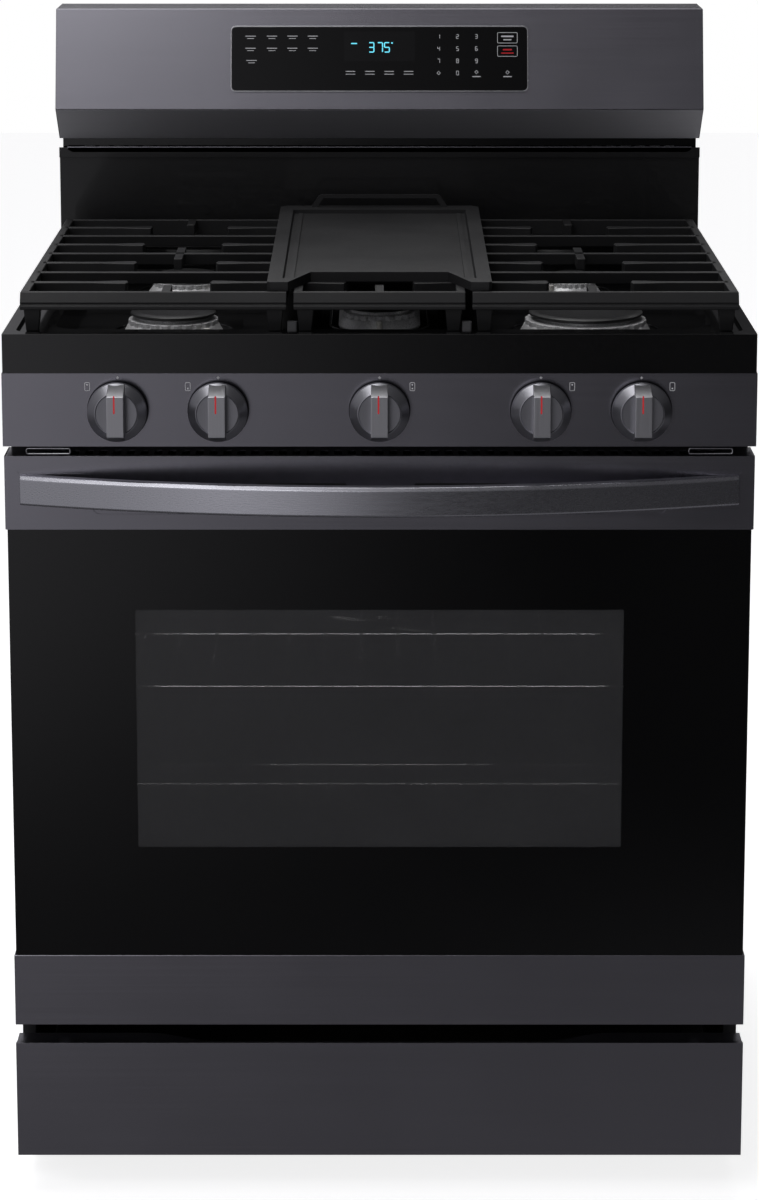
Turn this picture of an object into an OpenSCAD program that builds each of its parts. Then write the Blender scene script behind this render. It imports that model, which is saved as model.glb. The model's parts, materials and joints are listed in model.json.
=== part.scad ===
// Freestanding 30-inch gas range: five sealed burners, cast grates with a griddle,
// convection oven with a drop-down door, storage drawer and a raised backguard.
// Origin on the floor under the middle of the range. +X right, +Y back, +Z up.

/* [Overall] */
// Width of the door, the drawer front and the cooktop
range_w = 757; // [700:1:920]
// Depth from the front of the door to the back of the body
range_d = 670; // [600:1:810]
// Height of the cooktop's rim above the floor
cooktop_h = 914; // [800:1:1100]
// Height of the backguard above the cooktop's rim
backguard_h = 276; // [230:1:340]
// Gap between the floor and the drawer front
floor_gap = 40; // [34:1:60]

/* [Front stack] */
// Height of the drawer front
drawer_front_h = 124; // [104:1:150]
// Thickness of the drawer front
drawer_front_t = 28; // [24:1:34]
// Gap between the drawer front and the door
drawer_gap = 20; // [17:1:26]
// Height of the steel strip below the door glass
door_bottom_h = 76; // [60:1:90]
// Height of the steel strip above the door glass
door_top_h = 76; // [60:1:90]
// Vent gap between the door and the control panel
vent_gap = 10; // [8:1:14]
// Height of the control panel
panel_h = 75; // [68:1:90]
// Height of the cooktop's front face
cooktop_face_h = 40; // [36:1:50]
// Amount the control panel is wider than the door, each side
panel_overlap = 1; // [0:0.5:3]

/* [Door] */
// Thickness of the door
door_t = 44; // [40:1:52]
// Space between the closed door and the oven frame
seal_gap = 5; // [4:0.5:8]
// Thickness of the door's glass panes
glass_t = 4; // [3:0.5:5]
// Distance from the edge of the door to the window, each side
window_side = 130; // [110:1:160]
// Distance from the top of the door glass to the window
window_top = 84; // [70:1:110]
// Distance from the bottom of the door glass to the window
window_bottom = 117; // [90:1:140]
// Distance of the hinge pin behind the door's front
hinge_d = 24; // [22:0.5:26]
// Height of the hinge pin above the door's bottom edge
hinge_up = 12; // [11:0.5:13]
// Radius of the hinge pin
hinge_pin_r = 4; // [3:0.5:5]

/* [Handle] */
// How far the handle's middle stands out from the door
handle_reach = 62; // [52:1:74]
// Height of the handle bar
handle_h = 30; // [24:1:36]
// Thickness of the handle bar
handle_t = 13; // [10:0.5:16]
// Distance from the side of the door to the end of the handle
handle_inset = 16; // [10:1:40]
// How far the front of the handle's ends stands out
handle_end_reach = 8; // [6:0.5:12]

/* [Cooktop] */
// Width of the raised rim round the cooktop
rim_w = 12; // [8:1:16]
// Height of the rim above the ledge that the grates stand on
rim_up = 4; // [3:0.5:6]
// Distance from the rim's outside to the well, at the sides
well_side = 48; // [44:1:60]
// Distance from the cooktop's front to the well
well_front = 50; // [46:1:60]
// Depth of the well below the ledge
well_depth = 24; // [20:1:30]
// Distance from the cooktop's side to the outer burners' centres
burner_side = 162; // [150:1:175]
// Length of the middle burner
oval_len = 240; // [200:1:260]
// Width of the middle burner
oval_w = 77; // [66:1:90]
// Height of the middle burner's ring above the well
ring_up = 14; // [12:0.5:16]

/* [Grates] */
// Height of the grates' top above the cooktop's rim
grate_up = 36; // [32:1:44]
// Width of a grate bar
bar_w = 11; // [9:0.5:13]
// Height of a grate bar
bar_h = 12; // [10:0.5:14]
// Distance from the cooktop's front to the grates
grate_front = 34; // [30:1:40]
// Half the width of the middle grate
mid_grate_half = 87; // [80:1:95]
// Gap between two grates
grate_gap = 7; // [5:0.5:10]
// Distance from the cooktop's side to the outer grates
grate_side = 15; // [13:1:22]
// Half the opening in the bars round a burner
burner_clear = 44; // [38:1:52]

/* [Griddle] */
// Width of the griddle
griddle_w = 228; // [215:1:240]
// Height of the griddle's front edge above the grates
griddle_front_up = 9; // [8:0.5:12]
// Height of the griddle's back edge above the grates
griddle_back_up = 17; // [14:0.5:20]
// Depth of the cut-back in the griddle's front edge
griddle_cut = 58; // [45:1:70]
// Width of the griddle's end handles at their foot
flap_w = 162; // [140:1:180]

/* [Knobs] */
// Diameter of a knob
knob_dia = 60; // [52:1:66]
// How far a knob stands out
knob_reach = 40; // [34:1:46]
// How far a knob can be pushed in
knob_push = 4; // [3:0.5:6]
// Distance from the middle to the two outer knobs
knob_far = 263; // [250:1:285]
// Distance from the middle to the two inner knobs
knob_near = 162; // [150:1:175]
// Radius of a valve stem
stem_r = 4; // [3:0.5:5]

/* [Backguard] */
// Thickness of the backguard at its foot
guard_t = 60; // [52:1:80]
// How far the guard's bend stands in front of its foot
guard_bend_out = 45; // [36:1:55]
// How far the guard's top edge stands in front of its foot
guard_top_out = 15; // [10:1:25]
// Height of the bend below the guard's top
guard_face_h = 114; // [100:1:130]
// Height of the slanted strip below the bend
guard_chin_h = 39; // [32:1:48]
// Width of the touch glass
touch_w = 344; // [300:1:380]
// Height of the touch glass along the face
touch_h = 76; // [66:1:84]

/* [Oven] */
// Space between the side of the range and the oven cavity
cavity_side = 74; // [66:1:90]
// Space between the drawer front's top and the oven liner's floor
cavity_up = 38; // [34:1:50]
// Space between the cooktop's rim and the oven cavity's roof
cavity_down = 212; // [200:1:240]
// Space between the oven cavity's back and the back of the range
cavity_back = 128; // [118:1:150]
// Thickness of the insulation
blanket_t = 25; // [20:1:30]
// Radius of a rack wire
wire_r = 3; // [2.5:0.5:4]

/* [Drawer] */
// Space between the side of the range and the drawer box
drawer_side = 34; // [32:1:44]
// How far the drawer box stops short of the back
drawer_back = 96; // [80:1:120]

/* [Gas and power] */
// Radius of the gas inlet
gas_r = 9.5; // [8:0.5:12]
// Radius of the power lead's inlet
cord_r = 11; // [9:0.5:14]

/* [Sheet metal] */
// Thickness of the sheet metal
sheet = 1.5; // [1.2:0.1:2]
// Gap between parts that move past each other
gap = 0.5; // [0.4:0.1:0.8]
// Clearance round a pin or a stem
fit = 0.05; // [0.02:0.01:0.08]

/* [Hidden] */
$fn = 64;
eps = 0.01;          // overshoot of a cut past a face
big = 400;           // longer than any cut needs to be

// Depths are measured back from the front of the door.
front_y = -(range_d + handle_reach) / 2 + handle_reach;
function at(depth) = front_y + depth;
half_w = range_w / 2;

// Heights of the front's pieces
drawer_top = floor_gap + drawer_front_h;
door_z0 = drawer_top + drawer_gap;
panel_z1 = cooktop_h - cooktop_face_h;
panel_z0 = panel_z1 - panel_h;
door_z1 = panel_z0 - vent_gap;
glass_z0 = door_z0 + door_bottom_h;
glass_z1 = door_z1 - door_top_h;

// Body shell
frame_d = door_t + seal_gap;
shell_half = half_w - 2;
base_z = 24;
rear_d = range_d - sheet;
ledge_z = cooktop_h - rim_up;
skin = 2;            // thickness of the cooktop's enamelled sheet
shell_top = ledge_z - skin;
flange = 14;         // folded edge of a casing panel

// Oven cavity, measured inside the liner
cav_half = half_w - cavity_side;
cav_z0 = drawer_top + cavity_up;
cav_z1 = cooktop_h - cavity_down;
cav_d1 = range_d - cavity_back;
liner_t = 2;
floor_up = 34;       // height of the oven floor cover above the liner's floor
rib_w = 9;           // how far a rack guide stands into the cavity
rib_h = 5;
rib_n = 5;
rib_z0 = 74;         // height of the lowest rack guide above the liner's floor
rib_pitch = (cav_z1 - cav_z0 - rib_z0 - 105) / (rib_n - 1);
function rib_z(i) = cav_z0 + rib_z0 + i * rib_pitch;
rack_gap = 3;        // room beside a rack
rack_front = frame_d + 26;
rack_back = cav_d1 - 46;
rack_wires = 15;
lower_i = 0;
upper_i = 3;

// Convection fan on the back wall
fan_z = (cav_z0 + floor_up + cav_z1) / 2;
fan_half = 105;      // half the fan cover's width
fan_cover_d = 34;
fan_r = 70;
shaft_r = 4;
motor_r = 42;
motor_len = 48;

// Window in the door
win_half = half_w - window_side;
win_z0 = glass_z0 + window_bottom;
win_z1 = glass_z1 - window_top;

// Door pan and its glass
glass_half = half_w - 2;
pan_half = half_w - sheet;
glass_d0 = 1;
pan_d0 = glass_d0 + glass_t;
hinge_x = half_w - 46;
hinge_z = door_z0 + hinge_up;
arm_t = 8;
eye_r = 9;
receiver_half = 14;  // the fixed hinge block's size inside the body
receiver_up = 12;
receiver_len = 60;
notch_half = arm_t / 2 + 7;
latch_z = door_z1 - 34;
latch_d = frame_d + 22;
latch_pin_r = 3;
latch_slot = 22;     // half the width of the hook's slot in the door
hook_d = door_t - 14;
hook_t = 5;

// Handle: an arc seen from above
handle_half = half_w - handle_inset;
handle_rise = handle_reach - handle_end_reach;
handle_r = (handle_half * handle_half + handle_rise * handle_rise) / (2 * handle_rise);
handle_z = door_z1 - door_top_h / 2 + 4;

// Drawer
box_half = half_w - drawer_side;
box_z0 = floor_gap + 10;
box_z1 = drawer_top - 14;
rail_z = (box_z0 + box_z1) / 2;
rail_half = 15;      // half the height of a drawer rail
runner_h = 8;
scoop_half = 170;    // half the length of the finger recess in the drawer's top edge
scoop_ramp = 73;     // length of the slope at each end of the recess
scoop_drop = 9;
scoop_wall = 5;      // edge left standing in front of the recess

// Cooktop well and burners
well_half = half_w - well_side;
well_d0 = well_front;
cook_back = range_d - guard_t;
well_d1 = cook_back - 34;
well_z = ledge_z - well_depth;
grate_top = cooktop_h + grate_up;
grate_back = cook_back - 54;
bars = 8;            // spaces between the front bar and the back bar
bar_pitch = (grate_back - grate_front - bar_w) / bars;
function bar_d(i) = grate_front + bar_w / 2 + i * bar_pitch;
burner_x = half_w - burner_side;
burner_d0 = bar_d(2);
burner_d1 = bar_d(6);
oval_d = bar_d(4);
// One row for each round burner: x, depth, ring radius, cap radius, ring height
round_burners = [
    [-burner_x, burner_d0, 47.5, 42, 14],
    [-burner_x, burner_d1, 38, 33, 12],
    [burner_x, burner_d0, 64, 57, 14],
    [burner_x, burner_d1, 27, 21, 12]];
throat_r = 18;       // burner neck through the cooktop
neck = 26;           // length of the neck below the well
port_h = 5;          // height of the toothed band under a cap
port_w = 2;
cap_t = 5;
teeth = 30;
oval_ports = 8;
oval_port_pitch = 11;

// Gas train
pipe_r = 10;
pipe_d = frame_d + 28;
knob_z = (panel_z0 + panel_z1) / 2;
valve_half = 13;
valve_d0 = frame_d - 8;
knob_x = [-knob_far, -knob_near, 0, knob_near, knob_far];
knob_gap = knob_push + 2;    // rest gap between the knob and its bezel
bezel_t = 2;
knob_back = -bezel_t - knob_gap + 1.5;
stem_tip = knob_back - 15;
feed_x = half_w - 42;
gas_z = panel_z0 - 24;

// Backguard section, as depths and heights
guard_top = cooktop_h + backguard_h;
bend_z = guard_top - guard_face_h;
chin_z = bend_z - guard_chin_h;
foot_d = cook_back;
bend_d = foot_d - guard_bend_out;
top_d = foot_d - guard_top_out;
guard_half = half_w - 3;
vent_h = 12;
step_z = chin_z - 22;
step_out = 6;
face_tilt = atan((top_d - bend_d) / guard_face_h);
touch_t = 2;

// ---- Helpers ----

// Block between two corners, given as x, depth and height
module block(x0, x1, d0, d1, z0, z1)
    translate([x0, at(d0), z0]) cube([x1 - x0, d1 - d0, z1 - z0]);

// The children and their mirror image on the other side
module both_sides() {
    children();
    mirror([1, 0, 0]) children();
}

module rod_x(r, x0, x1, d, z) translate([x0, at(d), z]) rotate([0, 90, 0]) cylinder(r = r, h = x1 - x0);
module rod_y(r, x, d0, d1, z) translate([x, at(d0), z]) rotate([-90, 0, 0]) cylinder(r = r, h = d1 - d0);
module rod_z(r, x, d, z0, z1) translate([x, at(d), z0]) cylinder(r = r, h = z1 - z0);

// Outline of depth and height points, drawn out from x0 to x1
module section(points, x0, x1)
    translate([x0, front_y, 0]) rotate([90, 0, 90]) linear_extrude(x1 - x0) polygon(points);

// Rounded rectangle seen from above, given by its middle and half sizes
module round_rect(hx, hy, r) {
    square([2 * (hx - r), 2 * hy], center = true);
    square([2 * hx, 2 * (hy - r)], center = true);
    for (x = [-1, 1], y = [-1, 1]) translate([x * (hx - r), y * (hy - r)]) circle(r = r);
}

// Stadium outline, longer front to back
module stadium(half_width, half_length) {
    square([2 * half_width, 2 * (half_length - half_width)], center = true);
    for (y = [-1, 1]) translate([0, y * (half_length - half_width)]) circle(r = half_width);
}

// ---- Body shell ----

leg_x = half_w - 60;
leg_front = 112;
leg_back = range_d - 62;
leg_r = 5;

module base_pan() color("dimgray") difference() {
    union() {
        block(-shell_half + sheet, shell_half - sheet, frame_d + sheet, rear_d, base_z, base_z + sheet);
        both_sides() block(shell_half - 2 * sheet, shell_half - sheet, frame_d + sheet, rear_d,
            base_z + sheet - eps, box_z0 - 4);
        for (d = [leg_front, leg_back]) both_sides() rod_z(leg_r + 6, leg_x, d, base_z, base_z + 14);
    }
    for (d = [leg_front, leg_back]) both_sides() rod_z(leg_r + fit, leg_x, d, base_z - 1, base_z + 15);
}

// Four screw feet: pad, nut under the pan, and the threaded rod
module leveling_legs() color("silver") for (d = [leg_front, leg_back]) both_sides() {
    rod_z(16, leg_x, d, 0, 6);
    rod_z(leg_r, leg_x, d, 6 - eps, base_z + 22);
    translate([leg_x, at(d), base_z - 8]) cylinder(r = 9, h = 8, $fn = 6);
}

module side_panel(s) color("black") mirror([s < 0 ? 1 : 0, 0, 0]) {
    block(shell_half - sheet, shell_half, frame_d, rear_d, base_z, shell_top);
    block(shell_half - flange, shell_half - sheet + eps, frame_d, frame_d + sheet, base_z, panel_z1);
    block(shell_half - flange, shell_half - sheet + eps, rear_d - sheet, rear_d, box_z1, shell_top);
}
module side_panel_left() side_panel(-1);
module side_panel_right() side_panel(1);

// Back in two sheets: the lower with vent slots and the power inlet, the upper with a notch for the gas inlet
regulator_x = feed_x - 60;
regulator_half = 26;
regulator_d = range_d - 91;
cord_x = -half_w + 90;
cord_z = 560;
slot_pitch = 84;     // vent slots in the lower sheet
slot_half = 30;
slot_h = 6;
slot_z = 150;
gas_notch = gas_r + 14;
back_seam = 0.5;     // gap between the two sheets
module rear_panel() color("slategray") {
    difference() {
        block(-shell_half, shell_half, rear_d, range_d, base_z, gas_z - gas_notch - back_seam);
        for (i = [-3:3])
            block(i * slot_pitch - slot_half, i * slot_pitch + slot_half, rear_d - 1, range_d + 1, slot_z,
                slot_z + slot_h);
        rod_y(cord_r, cord_x, rear_d - 1, range_d + 1, cord_z);
    }
    difference() {
        block(-shell_half, shell_half, rear_d, range_d, gas_z - gas_notch, shell_top);
        block(regulator_x - gas_notch, regulator_x + gas_notch, rear_d - 1, range_d + 1, gas_z - gas_notch - 1,
            gas_z + gas_notch);
    }
}

// Painted face frame round the oven's mouth
module front_frame() color("black") difference() {
    union() {
        block(-shell_half + flange, shell_half - flange, frame_d, frame_d + sheet, door_z0 - 6, panel_z1);
        block(-shell_half + flange, shell_half - flange, frame_d, frame_d + sheet, drawer_top + 2, door_z0);
        block(-14, 14, frame_d + sheet - eps, latch_d + 12, latch_z - 11, latch_z - 8);
    }
    rod_z(latch_pin_r + fit, 0, latch_d, latch_z - 12, latch_z - 7);
    block(-cav_half, cav_half, frame_d - 1, frame_d + 3, cav_z0, cav_z1);
    both_sides() block(hinge_x - arm_t / 2 - 1, hinge_x + arm_t / 2 + 1, frame_d - 1, frame_d + 3,
        hinge_z - 13, hinge_z + 13);
    block(-latch_slot - 12, latch_slot + 4, frame_d - 1, frame_d + 3, latch_z - 6, latch_z + 9);
    for (x = knob_x) block(x - valve_half - 1, x + valve_half + 1, frame_d - 1, frame_d + 3,
        knob_z - valve_half - 1, knob_z + valve_half + 1);
}

// ---- Oven ----

module oven_liner() color("midnightblue") difference() {
    union() {
        difference() {
            block(-cav_half - liner_t, cav_half + liner_t, frame_d + sheet, cav_d1 + liner_t,
                cav_z0 - liner_t, cav_z1 + liner_t);
            block(-cav_half, cav_half, frame_d, cav_d1, cav_z0, cav_z1);
        }
        for (i = [0:rib_n - 1]) both_sides()
            block(cav_half - rib_w, cav_half + eps, frame_d + 14, cav_d1 - 30, rib_z(i), rib_z(i) + rib_h);
        both_sides() block(cav_half - 12, cav_half + eps, frame_d + 30, cav_d1 + eps,
            cav_z0 + floor_up - 6, cav_z0 + floor_up);
    }
    rod_y(shaft_r + 4, 0, cav_d1 - 1, cav_d1 + liner_t + 1, fan_z);
    rod_y(lamp_r, lamp_x, cav_d1 - 1, cav_d1 + liner_t + 1, lamp_z);
    rod_y(probe_r + 0.5, -lamp_x, cav_d1 - 1, cav_d1 + liner_t + 1, lamp_z);
    for (z = [bake_z, broil_z]) rod_y(burner_tube_r + 0.5, burner_feed_x, cav_d1 - 1, cav_d1 + liner_t + 1, z);
}

// Blanket over the top, the sides, the floor and the back of the liner
module oven_insulation() color("khaki") difference() {
    block(-cav_half - liner_t - blanket_t, cav_half + liner_t + blanket_t, frame_d + 12,
        cav_d1 + liner_t + blanket_t,
        cav_z0 - liner_t - blanket_t, cav_z1 + liner_t + blanket_t);
    block(-cav_half - liner_t, cav_half + liner_t, frame_d, cav_d1 + liner_t, cav_z0 - liner_t,
        cav_z1 + liner_t);
    rod_y(motor_r + 4, 0, cav_d1, cav_d1 + big, fan_z);
    rod_y(lamp_r + 6, lamp_x, cav_d1, cav_d1 + big, lamp_z);
    rod_y(probe_r + 2, -lamp_x, cav_d1, cav_d1 + big, lamp_z);
    for (z = [bake_z, broil_z]) rod_y(burner_tube_r + 2, burner_feed_x, cav_d1, cav_d1 + big, z);
    both_sides() block(hinge_x - receiver_half - gap, half_w, frame_d, frame_d + receiver_len + gap,
        hinge_z - receiver_up - gap, hinge_z + receiver_up + gap);
    // room for the door lock
    block(-latch_slot - 12, latch_slot + 4, frame_d, latch_d + 14, latch_z - 14, latch_z + big);
}

// Row of heat slots down each side
heat_pitch = 44;
heat_half = 16;
function heat_d(i) = (frame_d + cav_d1) / 2 + i * heat_pitch;
module oven_floor_cover() color("midnightblue") difference() {
    block(-cav_half + gap, cav_half - gap, frame_d + 12, cav_d1 - 2, cav_z0 + floor_up,
        cav_z0 + floor_up + sheet);
    for (i = [-4:4]) both_sides() block(cav_half - 34, cav_half - 26, heat_d(i) - heat_half,
        heat_d(i) + heat_half,
        cav_z0 + floor_up - 1, cav_z0 + floor_up + 3);
}

// Gas tubes: two runs joined at both ends, with a feed out through the back wall
burner_tube_r = 9;
burner_feed_x = 96;
bake_z = cav_z0 + 16;
broil_z = cav_z1 - 22;
module tube_burner(z, half, d0, hang) color("darkgray") {
    both_sides() rod_y(burner_tube_r, half, d0, cav_d1 - 60, z);
    for (d = [d0 + burner_tube_r, cav_d1 - 70]) rod_x(burner_tube_r - 1, -half, half, d, z);
    rod_y(burner_tube_r - 2, burner_feed_x, cav_d1 - 70, cav_d1 + liner_t + blanket_t + 22, z);
    for (d = [d0 + 50, cav_d1 - 110]) both_sides()
        block(half - 5, half + 5, d - 8, d + 8, hang < 0 ? cav_z0 : z, hang < 0 ? z : cav_z1);
}
module bake_burner() tube_burner(bake_z, 170, frame_d + 70, -1);
module broil_burner() tube_burner(broil_z, 130, frame_d + 90, 1);

// Sheet box with a slotted round intake in front and slots at both sides
intake_pitch = 14;
module fan_cover() color("midnightblue") difference() {
    block(-fan_half, fan_half, cav_d1 - fan_cover_d, cav_d1, fan_z - fan_half, fan_z + fan_half);
    block(-fan_half + sheet, fan_half - sheet, cav_d1 - fan_cover_d + sheet, cav_d1 + 1,
        fan_z - fan_half + sheet, fan_z + fan_half - sheet);
    for (i = [-4:4]) let (half = sqrt(pow(fan_r, 2) - pow(i * intake_pitch, 2)), z = fan_z + i * intake_pitch)
        block(-half, half, cav_d1 - fan_cover_d - 1, cav_d1 - fan_cover_d + 3, z - 3, z + 3);
    for (i = [-3:3]) both_sides() block(fan_half - 3, fan_half + 1, cav_d1 - 24, cav_d1 - 10,
        fan_z + i * 26 - 8, fan_z + i * 26 + 8);
}

// Motor on the outside of the back wall, with the bearing that the shaft turns in
motor_d0 = cav_d1 + liner_t + 6;
module fan_motor() color("gray") difference() {
    union() {
        rod_y(motor_r - 4, 0, motor_d0, motor_d0 + motor_len, fan_z);
        block(-motor_r + 4, motor_r - 4, motor_d0 - 3, motor_d0, fan_z - 10, fan_z + 10);
        both_sides() block(motor_r - 16, motor_r - 4, cav_d1 + liner_t, motor_d0 + eps, fan_z - 10,
            fan_z + 10);
    }
    rod_y(shaft_r + fit, 0, motor_d0 - 4, motor_d0 + motor_len - 10, fan_z);
}

blades = 8;
module fan_blade() color("silver") {
    rod_y(shaft_r, 0, cav_d1 - 20, motor_d0 + motor_len - 11, fan_z);
    rod_y(12, 0, cav_d1 - 26, cav_d1 - 6, fan_z);
    rod_y(fan_r - 14, 0, cav_d1 - 10, cav_d1 - 8, fan_z);
    for (a = [0:360 / blades:359]) translate([0, at(cav_d1 - 24), fan_z]) rotate([0, a + 7, 0])
        translate([9, 0, -0.8]) cube([fan_r - 12, 15, 1.6]);
}

lamp_x = -cav_half + 70;
lamp_z = cav_z1 - 70;
lamp_r = 24;
module oven_lamp() color("lightyellow") {
    rod_y(lamp_r + 6, lamp_x, cav_d1 - 10, cav_d1, lamp_z);
    rod_y(lamp_r - gap, lamp_x, cav_d1 - eps, cav_d1 + liner_t + 20, lamp_z);
}

probe_r = 3;
module temperature_probe() color("silver") {
    rod_y(probe_r, -lamp_x, cav_d1 - 90, cav_d1 + liner_t + 12, lamp_z);
    block(-lamp_x - 14, -lamp_x + 14, cav_d1 - 2, cav_d1, lamp_z - 8, lamp_z + 8);
}

// Wire shelf: frame, front to back wires on three cross wires, and a raised back stop.
// The wires are drawn with a square section.
module wire(x0, x1, d0, d1, z) block(x0 - wire_r, x1 + wire_r, d0 - wire_r, d1 + wire_r, z - wire_r,
    z + wire_r);
stop_up = 24;        // height of a rack's back stop
module rack(i) color("silver") {
    z = rib_z(i) + rib_h + wire_r;
    half = cav_half - rack_gap - wire_r;
    both_sides() wire(half, half, rack_front, rack_back, z);
    for (d = [rack_front, (rack_front + rack_back) / 2, rack_back]) wire(-half, half, d, d, z);
    for (k = [1:rack_wires - 1]) let (x = -half + k * 2 * half / rack_wires)
        wire(x, x, rack_front, rack_back, z + wire_r);
    wire(-half + 12, half - 12, rack_back, rack_back, z + stop_up);
    for (k = [-1:1]) let (x = k * half * 0.8)
        block(x - wire_r, x + wire_r, rack_back - wire_r, rack_back + wire_r, z, z + stop_up);
}
module upper_rack() rack(upper_i);
module lower_rack() rack(lower_i);

// ---- Door ----

gasket_out = 16;
gasket_w = 9;
module door_gasket() color("darkslategray") difference() {
    block(-cav_half - gasket_out, cav_half + gasket_out, door_t, frame_d - gap,
        cav_z0 - gasket_w, cav_z1 + gasket_out);
    block(-cav_half - gasket_out + gasket_w, cav_half + gasket_out - gasket_w, door_t - 1, frame_d,
        cav_z0, cav_z1 + gasket_out - gasket_w);
}

// Fixed hinge arms: eye round the door's pin, and a tongue into the body
module hinge_receivers() color("gray") both_sides() difference() {
    union() {
        rod_x(eye_r, hinge_x - arm_t / 2, hinge_x + arm_t / 2, hinge_d, hinge_z);
        block(hinge_x - arm_t / 2, hinge_x + arm_t / 2, hinge_d, frame_d + receiver_len, hinge_z - 7,
            hinge_z + 7);
        block(hinge_x - receiver_half, hinge_x + receiver_half, frame_d + sheet, frame_d + receiver_len,
            hinge_z - receiver_up, hinge_z + receiver_up);
    }
    rod_x(hinge_pin_r + fit, hinge_x - 20, hinge_x + 20, hinge_d, hinge_z);
}

// Lock hook that swings sideways behind the door's inner panel
module door_latch() color("silver") {
    rod_z(7, 0, latch_d, latch_z, latch_z + 4);
    block(-4, 4, hook_d, latch_d, latch_z, latch_z + 4);
    block(4 - latch_slot, 4, hook_d, hook_d + hook_t, latch_z, latch_z + 4);
    rod_z(latch_pin_r, 0, latch_d, latch_z - 12, latch_z + eps);
}

// Strip across the door: front sheet and returns round the pan
module door_trim(z0, z1, open_top, open_bottom) difference() {
    block(-half_w, half_w, 0, door_t, z0, z1);
    block(-half_w + sheet, half_w - sheet, sheet, door_t + 1,
        open_bottom ? z0 - 1 : z0 + sheet, open_top ? z1 + 1 : z1 - sheet);
}

// Vent holes: rows of fine slots behind the handle, and a row of wide ones along the door's top
vent_rows = [[-207, 9], [-56, 9], [104, 9], [214, 4]];   // middle of each row, slots to each side of it
vent_pitch = 5;
vent_z = handle_z + 15;
top_slots = 24;
top_slot_pitch = 14;
module top_slot(k, z) block(k * top_slot_pitch - 4, k * top_slot_pitch + 4, 8, 30, z - 1, z + sheet + 1);

module door_top_trim() color("dimgray") difference() {
    union() {
        door_trim(glass_z1, door_z1, false, true);
        block(-half_w + sheet - eps, half_w - sheet + eps, sheet - eps, pan_d0, glass_z1, glass_z1 + sheet);
    }
    for (row = vent_rows, k = [-row[1]:row[1]]) let (x = row[0] + k * vent_pitch)
        block(x - 1.6, x + 1.6, -1, sheet + 1, vent_z - 2.5, vent_z + 2.5);
    for (k = [-top_slots:top_slots]) top_slot(k, door_z1 - sheet);
}

module door_bottom_trim() color("dimgray") difference() {
    union() {
        door_trim(door_z0, glass_z0, true, false);
        block(-half_w + sheet - eps, half_w - sheet + eps, sheet - eps, pan_d0, glass_z0 - sheet, glass_z0);
    }
    hinge_notch();
}

// Room in the door's lower back corner for the fixed arm as the door drops
module hinge_notch() both_sides() {
    block(hinge_x - notch_half, hinge_x + notch_half, hinge_d - eye_r - 1, door_t + 1,
        door_z0 - 1, hinge_z + eye_r + 1);
}

module door_outer_glass() color("black")
    block(-glass_half, glass_half, glass_d0, pan_d0, glass_z0, glass_z1);

module door_inner_panel() color("black") difference() {
    block(-pan_half, pan_half, pan_d0, door_t, door_z0 + sheet, door_z1 - sheet);
    block(-pan_half + sheet, pan_half - sheet, pan_d0 - 1, door_t - sheet, door_z0 + 2 * sheet,
        door_z1 - 2 * sheet);
    block(-win_half - 8, win_half + 8, door_t - 3, door_t + 1, win_z0 - 8, win_z1 + 8);
    block(-latch_slot, latch_slot, door_t - 3, door_t + 1, latch_z - 5, latch_z + 8);
    hinge_notch();
    for (k = [-top_slots:top_slots]) top_slot(k, door_z1 - 2 * sheet);
}

// Two inner panes and the channel frame that holds them to the pan
pane_lap = 24;       // how far the panes reach past the window
pane_d = door_t - sheet - 4 * glass_t;
module door_inner_glass() color("darkslategray") {
    for (d = [pane_d, pane_d + 3 * glass_t])
        block(-win_half - pane_lap, win_half + pane_lap, d, d + glass_t, win_z0 - pane_lap, win_z1 + pane_lap);
    difference() {
        block(-win_half - pane_lap, win_half + pane_lap, pane_d + glass_t, pane_d + 3 * glass_t,
            win_z0 - pane_lap, win_z1 + pane_lap);
        block(-win_half - pane_lap / 2, win_half + pane_lap / 2, pane_d, door_t,
            win_z0 - pane_lap / 2, win_z1 + pane_lap / 2);
    }
}

// Bowed bar, cut off flat where its ends meet the door
module door_handle() color("dimgray") intersection() {
    translate([0, at(-handle_reach) + handle_r, handle_z - handle_h / 2]) difference() {
        cylinder(r = handle_r, h = handle_h, $fn = 180);
        translate([0, 0, -1]) cylinder(r = handle_r - handle_t, h = handle_h + 2, $fn = 180);
    }
    block(-handle_half, handle_half, -handle_reach - 1, 0, handle_z - handle_h, handle_z + handle_h);
}

// Hinge bodies in the door: two cheeks, the pin between them and a channel to the pan
cheek = 3;
cheek_h = 90;
hinge_half = arm_t / 2 + gap + cheek;
module door_hinges() color("silver") both_sides() {
    for (x = [hinge_x - hinge_half, hinge_x + hinge_half - cheek])
        block(x, x + cheek, hinge_d - 7, hinge_d + 9, hinge_z - 7, hinge_z + cheek_h);
    rod_x(hinge_pin_r, hinge_x - hinge_half, hinge_x + hinge_half, hinge_d, hinge_z);
    block(hinge_x - hinge_half, hinge_x + hinge_half, hinge_d + 9 - eps, door_t - sheet, hinge_z + 20,
        hinge_z + cheek_h);
}

// ---- Storage drawer ----

// Folded front with a finger recess in its top edge
module drawer_front() color("dimgray") difference() {
    block(-half_w, half_w, 0, drawer_front_t, floor_gap, drawer_top);
    block(-half_w + sheet, half_w - sheet, sheet, drawer_front_t + 1,
        floor_gap + sheet, drawer_top - scoop_drop - sheet);
    translate([0, at(drawer_front_t) + 1, drawer_top]) rotate([90, 0,
        0]) linear_extrude(drawer_front_t - scoop_wall + 1)
        polygon([[-scoop_half - scoop_ramp, 0], [-scoop_half, -scoop_drop], [scoop_half, -scoop_drop],
            [scoop_half + scoop_ramp, 0], [scoop_half + scoop_ramp, 1], [-scoop_half - scoop_ramp, 1]]);
}

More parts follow.
